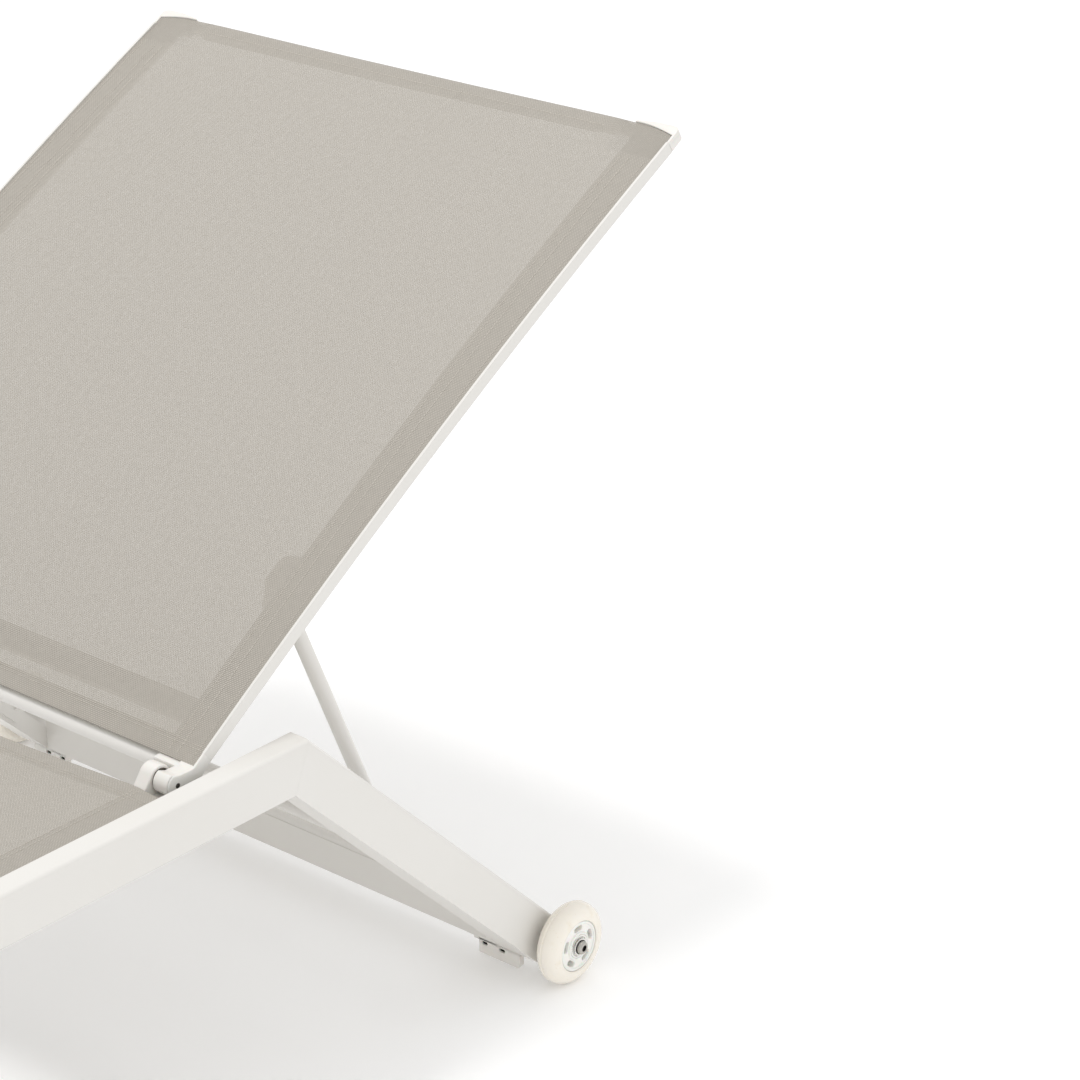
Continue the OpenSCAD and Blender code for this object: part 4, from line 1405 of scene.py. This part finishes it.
# Along a stitch: the place, the thickness and the height, as parts of its length and radius.
THREAD_SHAPE = (
    (-0.5, 0.35, -0.35),
    (-0.36, 0.9, 0.1),
    (0.0, 1.0, 0.45),
    (0.36, 0.9, 0.1),
    (0.5, 0.35, -0.35),
)
STITCH_FILLS = 0.84


def sew(bm, place, start, end, lift):
    """Adds a row of stitches from start to end, two (p, q) spots on a cloth."""
    a, b = Vector(start), Vector(end)
    count = int((b - a).length / STITCH)
    for k in range(count):
        middle = a + (b - a) * ((k + 0.5) / count)
        step = (b - a).normalized() * STITCH * (STITCH_FILLS / 2)
        here = Vector(place(*(middle - step)))
        there = Vector(place(*(middle + step)))
        centre = Vector(place(*middle))
        along = (there - here).normalized()
        side = along.cross(lift).normalized()
        up = side.cross(along)
        length = (there - here).length
        rings = []
        for at, fat, high in THREAD_SHAPE:
            spot = centre + along * (at * length) + up * (high * THREAD_RADIUS)
            ring = []
            for n in range(THREAD_SIDES):
                turn = 2 * math.pi * n / THREAD_SIDES
                out = side * math.cos(turn) + up * math.sin(turn)
                ring.append(bm.verts.new(spot + out * (fat * THREAD_RADIUS)))
            rings.append(ring)
        for low, high in zip(rings, rings[1:]):
            for n in range(THREAD_SIDES):
                m = (n + 1) % THREAD_SIDES
                bm.faces.new((low[n], low[m], high[m], high[n]))
        bm.faces.new(rings[0])
        bm.faces.new(reversed(rings[-1]))
    return count


print("each stitch is", round(STITCH * STITCH_FILLS / MM, 2), "mm long")

# %% [markdown]
# The back has two rows along each side hem, one near the bar, two along the bottom hem and one
# along the sleeve. The seat has two rows along each side and each end.

# %% Rows of stitches
ROW_START = 4 * MM
ROW_END = 655 * MM
bar_row = side_edge - 5 * MM


def row_at(x):
    """A row up the back at x, as its two ends."""
    return ((x, ROW_START), (x, ROW_END))


back_rows = [row_at(side * x) for side in (-1, 1) for x in SIDE_ROWS]
back_rows += [row_at(side * bar_row) for side in (-1, 1)]
back_rows += [((-side_edge + 2 * MM, u), (side_edge - 2 * MM, u)) for u in BOTTOM_ROWS]
wrapped_length = CORNER_INNER - SLEEVE_BLEND
back_rows += [((-wrapped_length, TOP_ROW), (wrapped_length, TOP_ROW))]
stitches = bmesh.new()
total = sum(sew(stitches, back_cloth_point, a, b, OUT) for a, b in back_rows)
back_stitches = finish_mesh("back_sling_stitches", stitches, thread, "back", crisp=math.pi)

seat_rows = [
    ((side * x, 4 * MM), (side * x, seat_length - 4 * MM)) for side in (-1, 1) for x in SEAT_ROWS
]
seat_rows += [((-seat_side + 3 * MM, q), (seat_side - 3 * MM, q)) for q in END_ROWS]
seat_rows += [
    ((-seat_side + 3 * MM, seat_length - q), (seat_side - 3 * MM, seat_length - q))
    for q in END_ROWS
]
stitches = bmesh.new()
total += sum(sew(stitches, seat_cloth_point, a, b, Vector((0, 0, 1))) for a, b in seat_rows)
seat_stitches = finish_mesh("seat_sling_stitches", stitches, thread, "frame", crisp=math.pi)
print(total, "stitches")

# %% [markdown]
# Both slings are built, each with its own mesh of stitches.

print("declared", back_cloth.name, "and", seat_cloth.name)

# %% [markdown]
# ## Finishes of the frame's own parts
# Everything that still shows from the CAD model gets its finish by name. Extrusions and rods are
# coated; caps are nylon; fixings are metal, except the deep-set screws of the blocks and brackets,
# which get the dark material as painted shade of their holes.

# %% Finishes by node
FINISHES = {
    "seat_keders": vinyl,
    "back_keders": vinyl,
    "front_glides": white_nylon,
    "leg_end_caps": white_nylon,
    "axle_spacers": white_nylon,
    "prop_rod_caps": white_nylon,
    # The block and bracket screws sit deep in their holes: painted shade.
    "block_screws": painted_recess_shade,
    "bracket_screws": painted_recess_shade,
    "hinge_washers": washer_rubber,
    "hinge_pin_left": stainless,
    "hinge_pin_right": stainless,
    "prop_pivot_pins": stainless,
    "axle_inserts": stainless,
    "rack_rivets": stainless,
}
for name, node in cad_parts.items():
    finish = FINISHES.get(name, powder_coat)
    if not node.material_slots:
        node.data.materials.append(finish)
    for socket in node.material_slots:
        socket.material = finish
print(len(FINISHES), "special finishes; the other nodes are coated")
